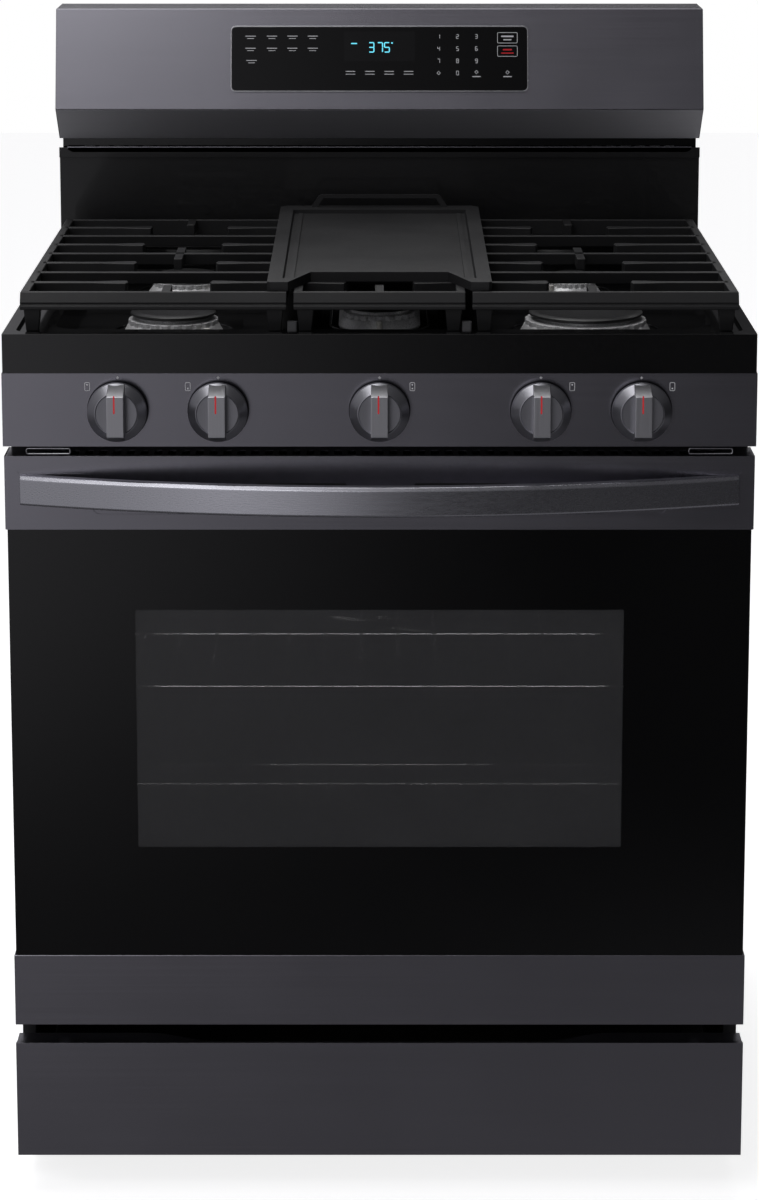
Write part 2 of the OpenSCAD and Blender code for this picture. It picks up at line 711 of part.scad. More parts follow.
box_back = range_d - drawer_back;
runner_out = 9;
module drawer_box() color("gray") {
    difference() {
        block(-box_half, box_half, sheet, box_back, box_z0, box_z1);
        block(-box_half + sheet, box_half - sheet, 2 * sheet, box_back - sheet, box_z0 + sheet, box_z1 + 1);
    }
    both_sides() block(box_half - eps, box_half + runner_out, frame_d + 20, box_back,
        rail_z - runner_h / 2, rail_z + runner_h / 2);
}

// Fixed channels on the casing that the drawer's runners slide in
module drawer_rails() color("silver") both_sides() difference() {
    block(box_half + gap, shell_half - sheet, frame_d + 12, range_d - 70, rail_z - rail_half,
        rail_z + rail_half);
    block(box_half - 1, box_half + runner_out + gap, frame_d, range_d,
        rail_z - runner_h / 2 - gap, rail_z + runner_h / 2 + gap);
}

// ---- Cooktop ----

well_r = 26;         // corner radius of the well
module cooktop() color("black") difference() {
    block(-half_w, half_w, 0, cook_back, panel_z1, cooktop_h);
    // the ledge inside the rim
    translate([0, at(cook_back / 2), ledge_z]) linear_extrude(rim_up + 1)
        round_rect(half_w - rim_w, cook_back / 2 - rim_w, 16);
    // the well
    translate([0, at((well_d0 + well_d1) / 2), well_z]) linear_extrude(well_depth + 1)
        round_rect(well_half, (well_d1 - well_d0) / 2, well_r);
    // hollow underside: full depth outside the well, shallow under it
    difference() {
        block(-half_w + skin, half_w - skin, skin, cook_back + 1, panel_z1 - 1, ledge_z - skin);
        translate([0, at((well_d0 + well_d1) / 2), well_z - skin]) linear_extrude(well_depth + skin)
            round_rect(well_half + skin, (well_d1 - well_d0) / 2 + skin, well_r + skin);
    }
    block(-well_half - skin, well_half + skin, well_d0 - skin, well_d1 + skin, panel_z1 - 1, well_z - skin);
    for (b = round_burners) rod_z(throat_r + gap, b[0], b[1], well_z - 4, well_z + 1);
    rod_z(throat_r + gap, 0, oval_d, well_z - 4, well_z + 1);
    for (b = round_burners) rod_z(igniter_r + gap, igniter_x(b), igniter_d(b), well_z - 4, well_z + 1);
    rod_z(igniter_r + gap, 0, oval_d - oval_len / 2 - igniter_off, well_z - 4, well_z + 1);
}

// Round burner: flared base on the well, toothed ring, and the neck below with its gas horn
module round_burner(b) difference() {
    union() {
        rod_z(b[2] + 4, b[0], b[1], well_z, well_z + 3);
        rod_z(b[2], b[0], b[1], well_z + 3 - eps, well_z + b[4]);
        rod_z(b[3] + 2, b[0], b[1], well_z + b[4] - eps, well_z + b[4] + port_h);
        rod_z(throat_r, b[0], b[1], well_z - neck, well_z + eps);
    }
    rod_z(b[3] - 8, b[0], b[1], well_z + b[4] - 6, well_z + b[4] + port_h + 1);
    for (a = [0:360 / teeth:359]) translate([b[0], at(b[1]), well_z + b[4] + 1.5]) rotate([0, 0, a])
        translate([b[3] - 10, -port_w / 2, 0]) cube([16, port_w, port_h - 1]);
}

module burner_heads() color("silver") {
    for (b = round_burners) round_burner(b);
    difference() {
        translate([0, at(oval_d), well_z]) {
            linear_extrude(3) stadium(oval_w / 2 + 4, oval_len / 2 + 4);
            translate([0, 0, 3 - eps]) linear_extrude(ring_up - 3) stadium(oval_w / 2, oval_len / 2);
            translate([0, 0, ring_up - 2 * eps]) linear_extrude(port_h) stadium(oval_w / 2 - 5,
                oval_len / 2 - 5);
            translate([0, 0, -neck]) cylinder(r = throat_r, h = neck + eps);
        }
        translate([0, at(oval_d), well_z + ring_up - 6]) linear_extrude(20) stadium(oval_w / 2 - 13,
            oval_len / 2 - 13);
        for (k = [-oval_ports:oval_ports]) let (d = oval_d + k * oval_port_pitch)
            block(-oval_w / 2 - 1, oval_w / 2 + 1, d - port_w / 2, d + port_w / 2,
                well_z + ring_up + 1.5, well_z + ring_up + port_h + 1);
    }
}

// Enamelled caps on the rings
module burner_caps() color("black") {
    for (b = round_burners) translate([b[0], at(b[1]), well_z + b[4] + port_h]) rotate_extrude()
        polygon([[0, 0], [b[3] + 1, 0], [b[3] + 3, 1.5], [b[3] + 2, cap_t - 1.5], [b[3] - 1, cap_t], [0,
            cap_t]]);
    translate([0, at(oval_d), well_z + ring_up + port_h - 2 * eps])
        linear_extrude(cap_t) stadium(oval_w / 2 - 3, oval_len / 2 - 3);
}

igniter_r = 3;
igniter_off = 11;    // from a burner's ring to its igniter
function igniter_x(b) = b[0] + (b[0] > 0 ? -1 : 1) * (b[2] + igniter_off) * sin(40);
function igniter_d(b) = b[1] - (b[2] + igniter_off) * cos(40);
module igniter(x, d) {
    rod_z(igniter_r, x, d, well_z - 14, well_z + 12);
    rod_z(igniter_r + 2.5, x, d, well_z, well_z + 3);
}
module igniters() color("white") {
    for (b = round_burners) igniter(igniter_x(b), igniter_d(b));
    igniter(0, oval_d - oval_len / 2 - igniter_off);
}

// ---- Grates and griddle ----

foot_w = 24;
// Front and back bar with a sloped outer face; t is +1 for the front bar and -1 for the back one
module frame_bar(x0, x1, t) {
    d0 = t > 0 ? grate_front : grate_back;
    section([[d0 + t * 4, grate_top], [d0 + t * (bar_w + 1), grate_top], [d0 + t * (bar_w + 1),
        grate_top - 18],
        [d0, grate_top - 18], [d0, grate_top - 5]], x0, x1);
}

// Bar across the grate, opened round a burner with flared tips and a low bridge
module open_bar(x0, x1, d, mid, half) {
    for (s = [-1, 1]) {
        end = s < 0 ? x0 : x1;
        tip = mid + s * half;
        translate([0, at(d), grate_top - bar_h]) linear_extrude(bar_h) polygon([
            [end, -bar_w / 2], [tip + s * 30, -bar_w / 2], [tip, -bar_w / 2 - 3],
            [tip, bar_w / 2 + 3], [tip + s * 30, bar_w / 2], [end, bar_w / 2]]);
    }
    block(mid - half - 20, mid + half + 20, d - 3, d + 3, grate_top - bar_h - 8, grate_top - bar_h + eps);
}

module grate(x0, x1, mid, half, open_bars, finger_bars) {
    frame_bar(x0, x1, 1);
    frame_bar(x0, x1, -1);
    for (x = [x0, x1 - bar_w])
        block(x, x + bar_w, grate_front + bar_w, grate_back - bar_w, grate_top - bar_h - 4, grate_top);
    for (i = [1:bars - 1]) if (len(search(i, open_bars)) > 0) open_bar(x0 + 5, x1 - 5, bar_d(i), mid, half);
        else block(x0 + 5, x1 - 5, bar_d(i) - bar_w / 2, bar_d(i) + bar_w / 2, grate_top - bar_h, grate_top);
    for (f = finger_bars) block(mid - bar_w / 2, mid + bar_w / 2, f[0], f[1], grate_top - bar_h, grate_top);
    for (x = [x0, x1 - foot_w], d = [grate_front + 2, grate_back - foot_w - 2])
        block(x, x + foot_w, d, d + foot_w - 10, ledge_z, grate_top - bar_h);
}

finger = bar_pitch * 0.62;
front_finger = [grate_front + bar_w, grate_front + bar_w + finger];
back_finger = [grate_back - bar_w - finger, grate_back - bar_w];
side_fingers = [front_finger, [bar_d(4) - finger, bar_d(4) + finger], back_finger];
side_open = [1, 3, 5, 7];    // bars that open round a burner
outer_in = mid_grate_half + grate_gap;
outer_out = half_w - grate_side;
module left_grate() color("dimgray") grate(-outer_out, -outer_in, -burner_x, burner_clear, side_open,
    side_fingers);
module right_grate() color("dimgray") grate(outer_in, outer_out, burner_x, burner_clear, side_open,
    side_fingers);
module center_grate() color("dimgray") grate(-mid_grate_half, mid_grate_half, 0, 36, [1, 7], [front_finger,
    back_finger]);

// Plate that rises gently to the back, with a flat cooking floor, two grease grooves
// and a raised handle at each end
griddle_d0 = grate_front + 14;
griddle_d1 = grate_back - 14;
griddle_floor = 5;
rim_side = 30;
flap_top = flap_w / 2 - 10;
module griddle() color("dimgray") difference() {
    union() {
        section([[griddle_d0, grate_top], [griddle_d1, grate_top], [griddle_d1, grate_top + griddle_back_up],
            [griddle_d0, grate_top + griddle_front_up]], -griddle_w / 2, griddle_w / 2);
        translate([0, at(griddle_d1 - 6), grate_top + griddle_back_up - 4]) rotate([90, 0,
            0]) linear_extrude(4)
            polygon([[-flap_w / 2, 0], [flap_w / 2, 0], [flap_top, 18], [-flap_top, 18]]);
    }
    // cooking floor
    block(-griddle_w / 2 + rim_side, griddle_w / 2 - rim_side, griddle_d0 + griddle_cut + 4, griddle_d1 - 30,
        grate_top + griddle_floor, grate_top + 60);
    // grease grooves
    both_sides() block(griddle_w / 2 - rim_side - 9, griddle_w / 2 - rim_side, griddle_d0 + 30,
        griddle_d1 - 36,
        grate_top + griddle_floor - 2.5, grate_top + 60);
    // front cut-back between the two corners
    translate([0, at(griddle_d0) - 1, grate_top - 1]) linear_extrude(60) polygon([[-flap_w / 2 - 12, 0],
        [flap_w / 2 + 12, 0], [flap_top, griddle_cut], [-flap_top, griddle_cut]]);
}

// ---- Gas train and controls ----

module gas_manifold() color("gray") {
    rod_x(pipe_r, -knob_far - 30, feed_x + pipe_r, pipe_d, knob_z);
    rod_y(pipe_r - 1, feed_x, pipe_d, regulator_d, knob_z);
    rod_z(pipe_r - 1, feed_x, regulator_d, gas_z, knob_z);
    rod_x(pipe_r - 2, regulator_x + regulator_half, feed_x, regulator_d, gas_z);
}

module gas_valves() color("peru") for (x = knob_x) difference() {
    block(x - valve_half, x + valve_half, valve_d0, pipe_d - pipe_r, knob_z - valve_half, knob_z + valve_half);
    rod_y(stem_r + fit, x, valve_d0 - 1, pipe_d - pipe_r - 6, knob_z);
}

// Regulator: body on the feed pipe and the threaded inlet at the back
module pressure_regulator() color("silver") difference() {
    union() {
        block(regulator_x - regulator_half, regulator_x + regulator_half, regulator_d - 31, regulator_d + 31,
            gas_z - regulator_half, gas_z + regulator_half);
        rod_y(gas_r + 6, regulator_x, regulator_d + 30, range_d - 4, gas_z);
        rod_z(22, regulator_x, regulator_d, gas_z + regulator_half - eps, gas_z + regulator_half + 8);
    }
    rod_y(gas_r, regulator_x, range_d - 34, range_d, gas_z);
}

module control_panel() color("dimgray") difference() {
    block(-half_w - panel_overlap, half_w + panel_overlap, 0, frame_d, panel_z0, panel_z1);
    block(-half_w - panel_overlap + sheet, half_w + panel_overlap - sheet, sheet, frame_d + 1,
        panel_z0 + sheet, panel_z1 - sheet);
    for (x = knob_x) rod_y(stem_r + 3, x, -1, sheet + 1, knob_z);
}

module knob_bezels() color("gray") for (x = knob_x) difference() {
    rod_y(knob_dia / 2 + 1, x, -bezel_t, 0, knob_z);
    rod_y(stem_r + 3, x, -bezel_t - 1, 1, knob_z);
}

flat_up = stem_r - 1.5;   // height of the flat on a stem above its axis
module valve_stem(x) color("silver") difference() {
    union() {
        rod_y(stem_r, x, stem_tip, pipe_d - pipe_r - 7, knob_z);
        rod_y(stem_r + 2, x, valve_d0 - 4, valve_d0 - gap, knob_z);
    }
    block(x - stem_r, x + stem_r, stem_tip - 1, knob_back + knob_push + 3, knob_z + flat_up,
        knob_z + stem_r + 1);
}
module valve_stem_1() valve_stem(knob_x[0]);
module valve_stem_2() valve_stem(knob_x[1]);
module valve_stem_3() valve_stem(knob_x[2]);
module valve_stem_4() valve_stem(knob_x[3]);
module valve_stem_5() valve_stem(knob_x[4]);

// Knob: skirt, drum and a grip bar across, with a D-shaped socket for the stem
skirt_t = 8;
module knob(x) color("gray") difference() {
    union() {
        rod_y(knob_dia / 2, x, knob_back - skirt_t, knob_back, knob_z);
        rod_y(knob_dia * 0.36, x, knob_back - 22, knob_back - skirt_t + eps, knob_z);
        intersection() {
            block(x - 9, x + 9, -knob_reach, knob_back - skirt_t + eps, knob_z - knob_dia / 2,
                knob_z + knob_dia / 2);
            rod_y(knob_dia / 2, x, -knob_reach - 1, knob_back, knob_z);
        }
    }
    difference() {
        rod_y(stem_r + fit, x, stem_tip - knob_push - 3, knob_back + 1, knob_z);
        block(x - stem_r - 1, x + stem_r + 1, stem_tip - knob_push - 4, knob_back + 2,
            knob_z + flat_up + fit, knob_z + stem_r + 2);
    }
}
module knob_1() knob(knob_x[0]);
module knob_2() knob(knob_x[1]);
module knob_3() knob(knob_x[2]);
module knob_4() knob(knob_x[3]);
module knob_5() knob(knob_x[4]);

// ---- Backguard ----

// Upright splash sheet from the cooktop to the step under the vent
module backguard_riser() color("black") {
    block(-shell_half + sheet, shell_half - sheet, foot_d, foot_d + sheet, panel_z1, shell_top);
    block(-guard_half, guard_half, foot_d, foot_d + sheet, shell_top - eps, step_z);
    block(-guard_half, guard_half, foot_d - step_out, foot_d + sheet, step_z, step_z + sheet);
    block(-guard_half, guard_half, foot_d - step_out, foot_d - step_out + sheet, step_z + sheet - eps,
        chin_z - vent_h + 2);
}

// Slotted strip that the oven's flue vents through
flue_pitch = 17;
module vent_trim() color("black") difference() {
    block(-guard_half + 4, guard_half - 4, foot_d + 2, foot_d + 5, step_z + sheet, chin_z);
    for (k = [-20:20]) block(k * flue_pitch - 6, k * flue_pitch + 6, foot_d, foot_d + 8, step_z + 8,
        step_z + 13);
}

// Folded fascia: slanted face, chin below the bend and a top return, with closed ends
guard_outline = [[foot_d, chin_z], [bend_d, bend_z], [top_d, guard_top], [range_d - sheet, guard_top],
    [range_d - sheet, chin_z]];
module backguard_panel() color("dimgray") difference() {
    section(guard_outline, -guard_half, guard_half);
    section([[foot_d + 2 * sheet, chin_z + sheet], [bend_d + 1.2 * sheet, bend_z + 0.3],
        [top_d + 1.2 * sheet, guard_top - sheet], [range_d, guard_top - sheet], [range_d, chin_z + sheet]],
        -guard_half + sheet, guard_half - sheet);
    block(-guard_half + 30, guard_half - 30, foot_d + 8, range_d, chin_z - 1, chin_z + 3);
}

cover_pitch = 30;
module backguard_rear_cover() color("slategray") difference() {
    block(-guard_half, guard_half, range_d - sheet, range_d, shell_top, guard_top);
    for (i = [-8:8]) block(i * cover_pitch - 10, i * cover_pitch + 10, range_d - 3, range_d + 1,
        chin_z + 40, chin_z + 45);
}

// Carries its children to the middle of the slanted face, with Z along the face's normal
module on_face() translate([0, at((bend_d + top_d) / 2), (bend_z + guard_top) / 2])
    rotate([90 - face_tilt, 0, 0]) children();

module touch_glass() color("black") on_face() linear_extrude(touch_t) round_rect(touch_w / 2, touch_h / 2, 5);

module control_board() color("darkgreen") difference() {
    block(-touch_w / 2 + 20, touch_w / 2 - 20, range_d - 40, range_d - sheet, bend_z + 12, bend_z + 78);
    block(-touch_w / 2 + 26, touch_w / 2 - 26, range_d - 36, range_d - sheet - 5, bend_z + 18, bend_z + 90);
}

base_pan();
leveling_legs();
side_panel_left();
side_panel_right();
rear_panel();
front_frame();
oven_liner();
oven_insulation();
oven_floor_cover();
bake_burner();
broil_burner();
fan_cover();
fan_motor();
fan_blade();
oven_lamp();
temperature_probe();
upper_rack();
lower_rack();
door_gasket();
hinge_receivers();
door_latch();
door_top_trim();
door_bottom_trim();
door_outer_glass();
door_inner_panel();
door_inner_glass();
door_handle();
door_hinges();
drawer_front();
drawer_box();
drawer_rails();
cooktop();
burner_heads();
burner_caps();
igniters();
left_grate();
right_grate();
center_grate();
griddle();
gas_manifold();
gas_valves();
pressure_regulator();
control_panel();
knob_bezels();
valve_stem_1();
valve_stem_2();
valve_stem_3();
valve_stem_4();
valve_stem_5();
knob_1();
knob_2();
knob_3();
knob_4();
knob_5();
backguard_riser();
backguard_panel();
backguard_rear_cover();
vent_trim();
touch_glass();
control_board();
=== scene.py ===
"""Freestanding gas range: the looks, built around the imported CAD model. Everything is in metres."""
import json
import math

import bmesh
import bpy
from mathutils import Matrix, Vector
from mathutils.geometry import tessellate_polygon


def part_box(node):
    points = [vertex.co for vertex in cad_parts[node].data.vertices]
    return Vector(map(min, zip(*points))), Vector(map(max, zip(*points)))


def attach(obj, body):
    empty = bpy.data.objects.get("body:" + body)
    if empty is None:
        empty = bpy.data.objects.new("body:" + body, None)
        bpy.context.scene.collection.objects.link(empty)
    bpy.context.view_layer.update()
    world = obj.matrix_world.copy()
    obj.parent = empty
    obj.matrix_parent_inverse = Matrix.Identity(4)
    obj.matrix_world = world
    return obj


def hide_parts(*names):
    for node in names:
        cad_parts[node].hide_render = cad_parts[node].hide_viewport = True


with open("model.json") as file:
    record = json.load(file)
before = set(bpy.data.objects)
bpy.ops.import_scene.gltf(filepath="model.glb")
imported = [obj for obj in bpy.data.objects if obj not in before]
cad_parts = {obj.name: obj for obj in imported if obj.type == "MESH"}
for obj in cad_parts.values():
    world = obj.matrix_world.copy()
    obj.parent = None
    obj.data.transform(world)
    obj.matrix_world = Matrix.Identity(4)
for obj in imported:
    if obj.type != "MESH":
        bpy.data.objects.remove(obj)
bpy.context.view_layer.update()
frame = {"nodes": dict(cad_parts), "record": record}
NODE_BODY = {n: b for b, nodes in frame["record"]["behaviour"]["bodies"].items() for n in nodes}
NODE_SLOT = {row["node"]: row["material_slot"] for row in frame["record"]["subparts"]}
MM = 0.001


def corners(node):
    """A CAD node's lowest and highest corners."""
    low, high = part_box(node)
    return Vector(low), Vector(high)


# ---- Materials ----

def principled(name, color, metallic=0.0, roughness=0.5, **sockets):
    """A material with one Principled shader; sockets are its other inputs, by name with underscores."""
    mat = bpy.data.materials.new(name)
    mat.use_nodes = True
    bsdf = mat.node_tree.nodes["Principled BSDF"]
    bsdf.inputs["Base Color"].default_value = (*color, 1)
    bsdf.inputs["Metallic"].default_value = metallic
    bsdf.inputs["Roughness"].default_value = roughness
    for key, value in sockets.items():
        bsdf.inputs[key.replace("_", " ")].default_value = value
    return mat


def add(mat, kind, **inputs):
    """A new node in the material, with values for its inputs."""
    node = mat.node_tree.nodes.new(kind)
    for key, value in inputs.items():
        node.inputs[key.replace("_", " ")].default_value = value
    return node


NOISE_LOW, NOISE_HIGH = 0.3, 0.7      # where most of a noise's values lie


def noise(mat, scale, detail):
    """Noise over the piece's own coordinates, stretched by a scale for each axis, in cells per metre."""
    place = add(mat, "ShaderNodeTexCoord")
    stretch = add(mat, "ShaderNodeMapping")
    stretch.inputs["Scale"].default_value = scale
    tex = add(mat, "ShaderNodeTexNoise", Scale=1.0, Detail=detail, Roughness=0.6)
    link(mat, place, "Object", stretch, "Vector")
    link(mat, stretch, "Vector", tex, "Vector")
    return tex


def link(mat, source, output, target, socket):
    mat.node_tree.links.new(source.outputs[output], target.inputs[socket])


def spread(mat, source, output, low, high):
    """Map the middle of a noise's range onto low to high."""
    node = add(mat, "ShaderNodeMapRange", From_Min=NOISE_LOW, From_Max=NOISE_HIGH, To_Min=low, To_Max=high)
    link(mat, source, output, node, "Value")
    return node


def two_tone(mat, source, output, dark, light):
    """Colour between dark and light, by the source's value."""
    ramp = add(mat, "ShaderNodeValToRGB")
    ramp.color_ramp.elements[0].position = NOISE_LOW
    ramp.color_ramp.elements[0].color = (*dark, 1)
    ramp.color_ramp.elements[1].position = NOISE_HIGH
    ramp.color_ramp.elements[1].color = (*light, 1)
    link(mat, source, output, ramp, "Fac")
    return ramp


def shade(color, amount):
    return tuple(min(1.0, c * amount) for c in color)


def finish_surface(mat, grain, color, vary, rough, bump, smudge=0.06, detail=4.0):
    """Grain in the colour, the roughness and the bump, with broad smudges on top.

    grain is cells per metre along each axis; vary is the colour's share either way; rough is the
    lowest and highest roughness; bump is the grain's depth in metres.
    """
    bsdf = mat.node_tree.nodes["Principled BSDF"]
    fine = noise(mat, grain, detail)
    broad = noise(mat, (9, 9, 9), 3.0)
    tone = two_tone(mat, fine, "Fac", shade(color, 1 - vary), shade(color, 1 + vary))
    link(mat, tone, "Color", bsdf, "Base Color")
    fine_rough = spread(mat, fine, "Fac", *rough)
    broad_rough = spread(mat, broad, "Fac", -smudge, smudge)
    total = add(mat, "ShaderNodeMath")
    total.operation = "ADD"
    total.use_clamp = True
    link(mat, fine_rough, "Result", total, 0)
    link(mat, broad_rough, "Result", total, 1)
    link(mat, total, "Value", bsdf, "Roughness")
    if bump:
        relief = add(mat, "ShaderNodeBump", Strength=0.6, Distance=bump)
        link(mat, fine, "Fac", relief, "Height")
        link(mat, relief, "Normal", bsdf, "Normal")
    return mat


BLACK_STEEL = (0.34, 0.333, 0.37)
HANDLE_STEEL = (0.56, 0.56, 0.605)
ALONG_X = (5, 1400, 1400)
ALONG_Z = (1400, 1400, 5)
FINE = (900, 900, 900)


def brushed(name, color, rough=(0.23, 0.26), grain=ALONG_X):
    """Brushed metal with its grain along one axis."""
    mat = principled(name, color, metallic=1.0)
    return finish_surface(mat, grain, color, 0.03, rough, 0.000004, smudge=0.012, detail=2.0)


def enamel(name, color, rough=(0.06, 0.12)):
    """Glossy porcelain enamel with slight orange peel."""
    mat = principled(name, color, Coat_Weight=0.3, Coat_Roughness=0.05)
    return finish_surface(mat, (260, 260, 260), color, 0.25, rough, 0.00003, smudge=0.02)


def speckled_enamel(name, base, speck):
    """Dark porcelain with fine light specks."""
    mat = enamel(name, base, (0.18, 0.28))
    bsdf = mat.node_tree.nodes["Principled BSDF"]
    dots = noise(mat, (1500, 1500, 1500), 1.0)
    ramp = two_tone(mat, dots, "Fac", base, speck)
    ramp.color_ramp.elements[0].position = 0.62
    ramp.color_ramp.elements[1].position = 0.74
    link(mat, ramp, "Color", bsdf, "Base Color")
    return mat


def cast(name, color, rough, bump, metallic=0.0):
    """Sand-cast surface with a satin coat."""
    return finish_surface(principled(name, color, metallic=metallic), FINE, color, 0.3, rough, bump)


def painted(name, color, rough=(0.35, 0.5), bump=0.00004):
    return finish_surface(principled(name, color), (500, 500, 500), color, 0.12, rough, bump)


def glass(name, color, alpha, rough=0.03):
    """Tinted pane: seen through by alpha, with a faint ripple in its gloss."""
    mat = principled(name, color, roughness=rough, Alpha=alpha, IOR=1.5)
    bsdf = mat.node_tree.nodes["Principled BSDF"]
    haze = noise(mat, (14, 14, 14), 3.0)
    gloss = spread(mat, haze, "Fac", rough, rough + 0.03)
    link(mat, gloss, "Result", bsdf, "Roughness")
    tone = two_tone(mat, haze, "Fac", shade(color, 0.95), shade(color, 1.05))
    link(mat, tone, "Color", bsdf, "Base Color")
    return mat


def glowing(name, color, strength):
    """Lit display segment, a little uneven across its height."""
    mat = principled(name, shade(color, 0.3), roughness=0.4, Emission_Strength=strength)
    bsdf = mat.node_tree.nodes["Principled BSDF"]
    tone = two_tone(mat, noise(mat, (300, 300, 300), 1.0), "Fac", shade(color, 0.85), color)
    link(mat, tone, "Color", bsdf, "Emission Color")
    return mat


def woven(name, color, pitch):
    """Woven rope or blanket: one diagonal wave in the bump and the colour."""
    mat = principled(name, color, roughness=0.95, Sheen_Weight=0.2)
    bsdf = mat.node_tree.nodes["Principled BSDF"]
    place = add(mat, "ShaderNodeTexCoord")
    wave = add(mat, "ShaderNodeTexWave", Scale=1 / pitch, Distortion=2.0, Detail=2.0)
    wave.bands_direction = "DIAGONAL"
    link(mat, place, "Object", wave, "Vector")
    tone = two_tone(mat, wave, "Fac", shade(color, 0.6), shade(color, 1.3))
    link(mat, tone, "Color", bsdf, "Base Color")
    relief = add(mat, "ShaderNodeBump", Strength=0.8, Distance=0.0006)
    link(mat, wave, "Fac", relief, "Height")
    link(mat, relief, "Normal", bsdf, "Normal")
    return mat


ZINC_GREY = (0.42, 0.43, 0.44)

MATERIALS = {
    "coated_steel": painted("coated_steel", (0.05, 0.05, 0.055)),
    "side_enamel": painted("side_enamel", (0.013, 0.013, 0.0145), (0.3, 0.42)),
    "galvanised": finish_surface(principled("galvanised", ZINC_GREY, metallic=0.5), (60, 60, 60), ZINC_GREY,
                                 0.14, (0.35, 0.55), 0.00003),
    "oven_enamel": speckled_enamel("oven_enamel", (0.012, 0.014, 0.024), (0.25, 0.27, 0.33)),
    "glass_wool": woven("glass_wool", (0.62, 0.56, 0.34), 0.01),
    "gas_tube": cast("gas_tube", (0.5, 0.5, 0.5), (0.3, 0.45), 0.00004, 1.0),
    "zinc_parts": cast("zinc_parts", (0.5, 0.51, 0.53), (0.28, 0.42), 0.00003, 1.0),
    "fan_steel": brushed("fan_steel", (0.6, 0.6, 0.6)),
    "lamp_glass": glass("lamp_glass", (0.75, 0.74, 0.66), 0.55, 0.08),
    "rack_chrome": brushed("rack_chrome", (0.7, 0.7, 0.72), (0.12, 0.2)),
    "gasket": woven("gasket", (0.03, 0.03, 0.032), 0.004),
    "black_stainless": brushed("black_stainless", BLACK_STEEL),
    "handle_steel": brushed("handle_steel", HANDLE_STEEL, (0.24, 0.3)),
    "door_glass": glass("door_glass", (0.0022, 0.0022, 0.0024), 1.0),
    "inner_glass": glass("inner_glass", (0.05, 0.05, 0.05), 0.12),
    "door_enamel": enamel("door_enamel", (0.006, 0.006, 0.0065)),
    "drawer_steel": painted("drawer_steel", (0.13, 0.13, 0.135)),
    "cooktop_enamel": enamel("cooktop_enamel", (0.0035, 0.0035, 0.0037)),
    "burner_aluminium": cast("burner_aluminium", (0.95, 0.95, 0.955), (0.25, 0.33), 0.00001, 0.2),
    "cap_enamel": cast("cap_enamel", (0.014, 0.014, 0.0145), (0.3, 0.42), 0.00006),
    "igniter_ceramic": painted("igniter_ceramic", (0.75, 0.73, 0.68), (0.2, 0.3)),
    "cast_iron": cast("cast_iron", (0.006, 0.006, 0.0065), (0.42, 0.55), 0.00008),
    "griddle_coating": cast("griddle_coating", (0.008, 0.008, 0.0087), (0.45, 0.56), 0.00005),
    "brass_parts": brushed("brass_parts", (0.66, 0.48, 0.22), (0.3, 0.4), FINE),
    "bezel_metal": brushed("bezel_metal", (0.06, 0.06, 0.068), (0.3, 0.4), FINE),
    "stem_steel": brushed("stem_steel", (0.6, 0.6, 0.6), grain=FINE),
    "knob_metal": brushed("knob_metal", (0.4, 0.4, 0.43), (0.3, 0.38), ALONG_Z),
    "touch_glass": glass("touch_glass", (0.0028, 0.0028, 0.003), 1.0),
    "board": painted("board", (0.02, 0.09, 0.04)),
}


# ---- Mesh helpers ----

def keep(name, bm, material, body, replaces=(), sharp=35, bevel=0.0, segments=2):
    """Make a piece of what was built in bm, shade it, give it its material and let it ride on its body.

    sharp is the angle in degrees from which an edge stays sharp, and bevel is in metres. material is the
    name of a slot, or a material of its own.
    """
    bmesh.ops.remove_doubles(bm, verts=bm.verts, dist=1e-6)
    bmesh.ops.recalc_face_normals(bm, faces=bm.faces)
    mesh = bpy.data.meshes.new(name)
    bm.to_mesh(mesh)
    bm.free()
    obj = bpy.data.objects.new(name, mesh)
    bpy.context.scene.collection.objects.link(obj)
    mesh.materials.append(MATERIALS[material] if isinstance(material, str) else material)
    mesh.shade_smooth()
    mesh.set_sharp_from_angle(angle=math.radians(sharp))
    if bevel:
        round_edges(obj, bevel, segments)
    if replaces:
        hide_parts(*replaces)
    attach(obj, body)


def round_edges(obj, width, segments):
    """Bevel the sharp edges, and keep the flat faces' shading flat."""
    edge = obj.modifiers.new("Edges", "BEVEL")
    edge.width, edge.segments = width, segments
    edge.limit_method, edge.angle_limit = "ANGLE", math.radians(30)
    edge.harden_normals = True
    even = obj.modifiers.new("Even", "WEIGHTED_NORMAL")
    even.keep_sharp = True
    even.weight = 100


def soften(node, width, segments):
    """Keep a CAD node, with flat faces joined and its edges rounded."""
    obj = frame["nodes"][node]
    weld = obj.modifiers.new("Join", "WELD")
    weld.merge_threshold = 0.00001
    flat = obj.modifiers.new("Flatten", "DECIMATE")
    flat.decimate_type, flat.angle_limit = "DISSOLVE", math.radians(0.5)
    obj.data.shade_smooth()
    round_edges(obj, width, segments)
    return obj


def arc(cx, cy, r, start, end, steps):
    """Points on an arc, angles in degrees."""
    return [(cx + r * math.cos(math.radians(start + (end - start) * i / steps)),
             cy + r * math.sin(math.radians(start + (end - start) * i / steps))) for i in range(steps + 1)]


def rounded(x0, x1, y0, y1, r, steps=5):
    """Outline of a rectangle with round corners, anticlockwise."""
    return (arc(x1 - r, y0 + r, r, -90, 0, steps) + arc(x1 - r, y1 - r, r, 0, 90, steps)
            + arc(x0 + r, y1 - r, r, 90, 180, steps) + arc(x0 + r, y0 + r, r, 180, 270, steps))


def flat_fill(bm, loops, place):
    """Fill an outline and its holes with triangles; place turns a 2D point into a 3D one."""
    points = [p for loop in loops for p in loop]
    verts = [bm.verts.new(place(*p)) for p in points]
    for tri in tessellate_polygon([[Vector((*p, 0)) for p in loop] for loop in loops]):
        bm.faces.new([verts[i] for i in tri])


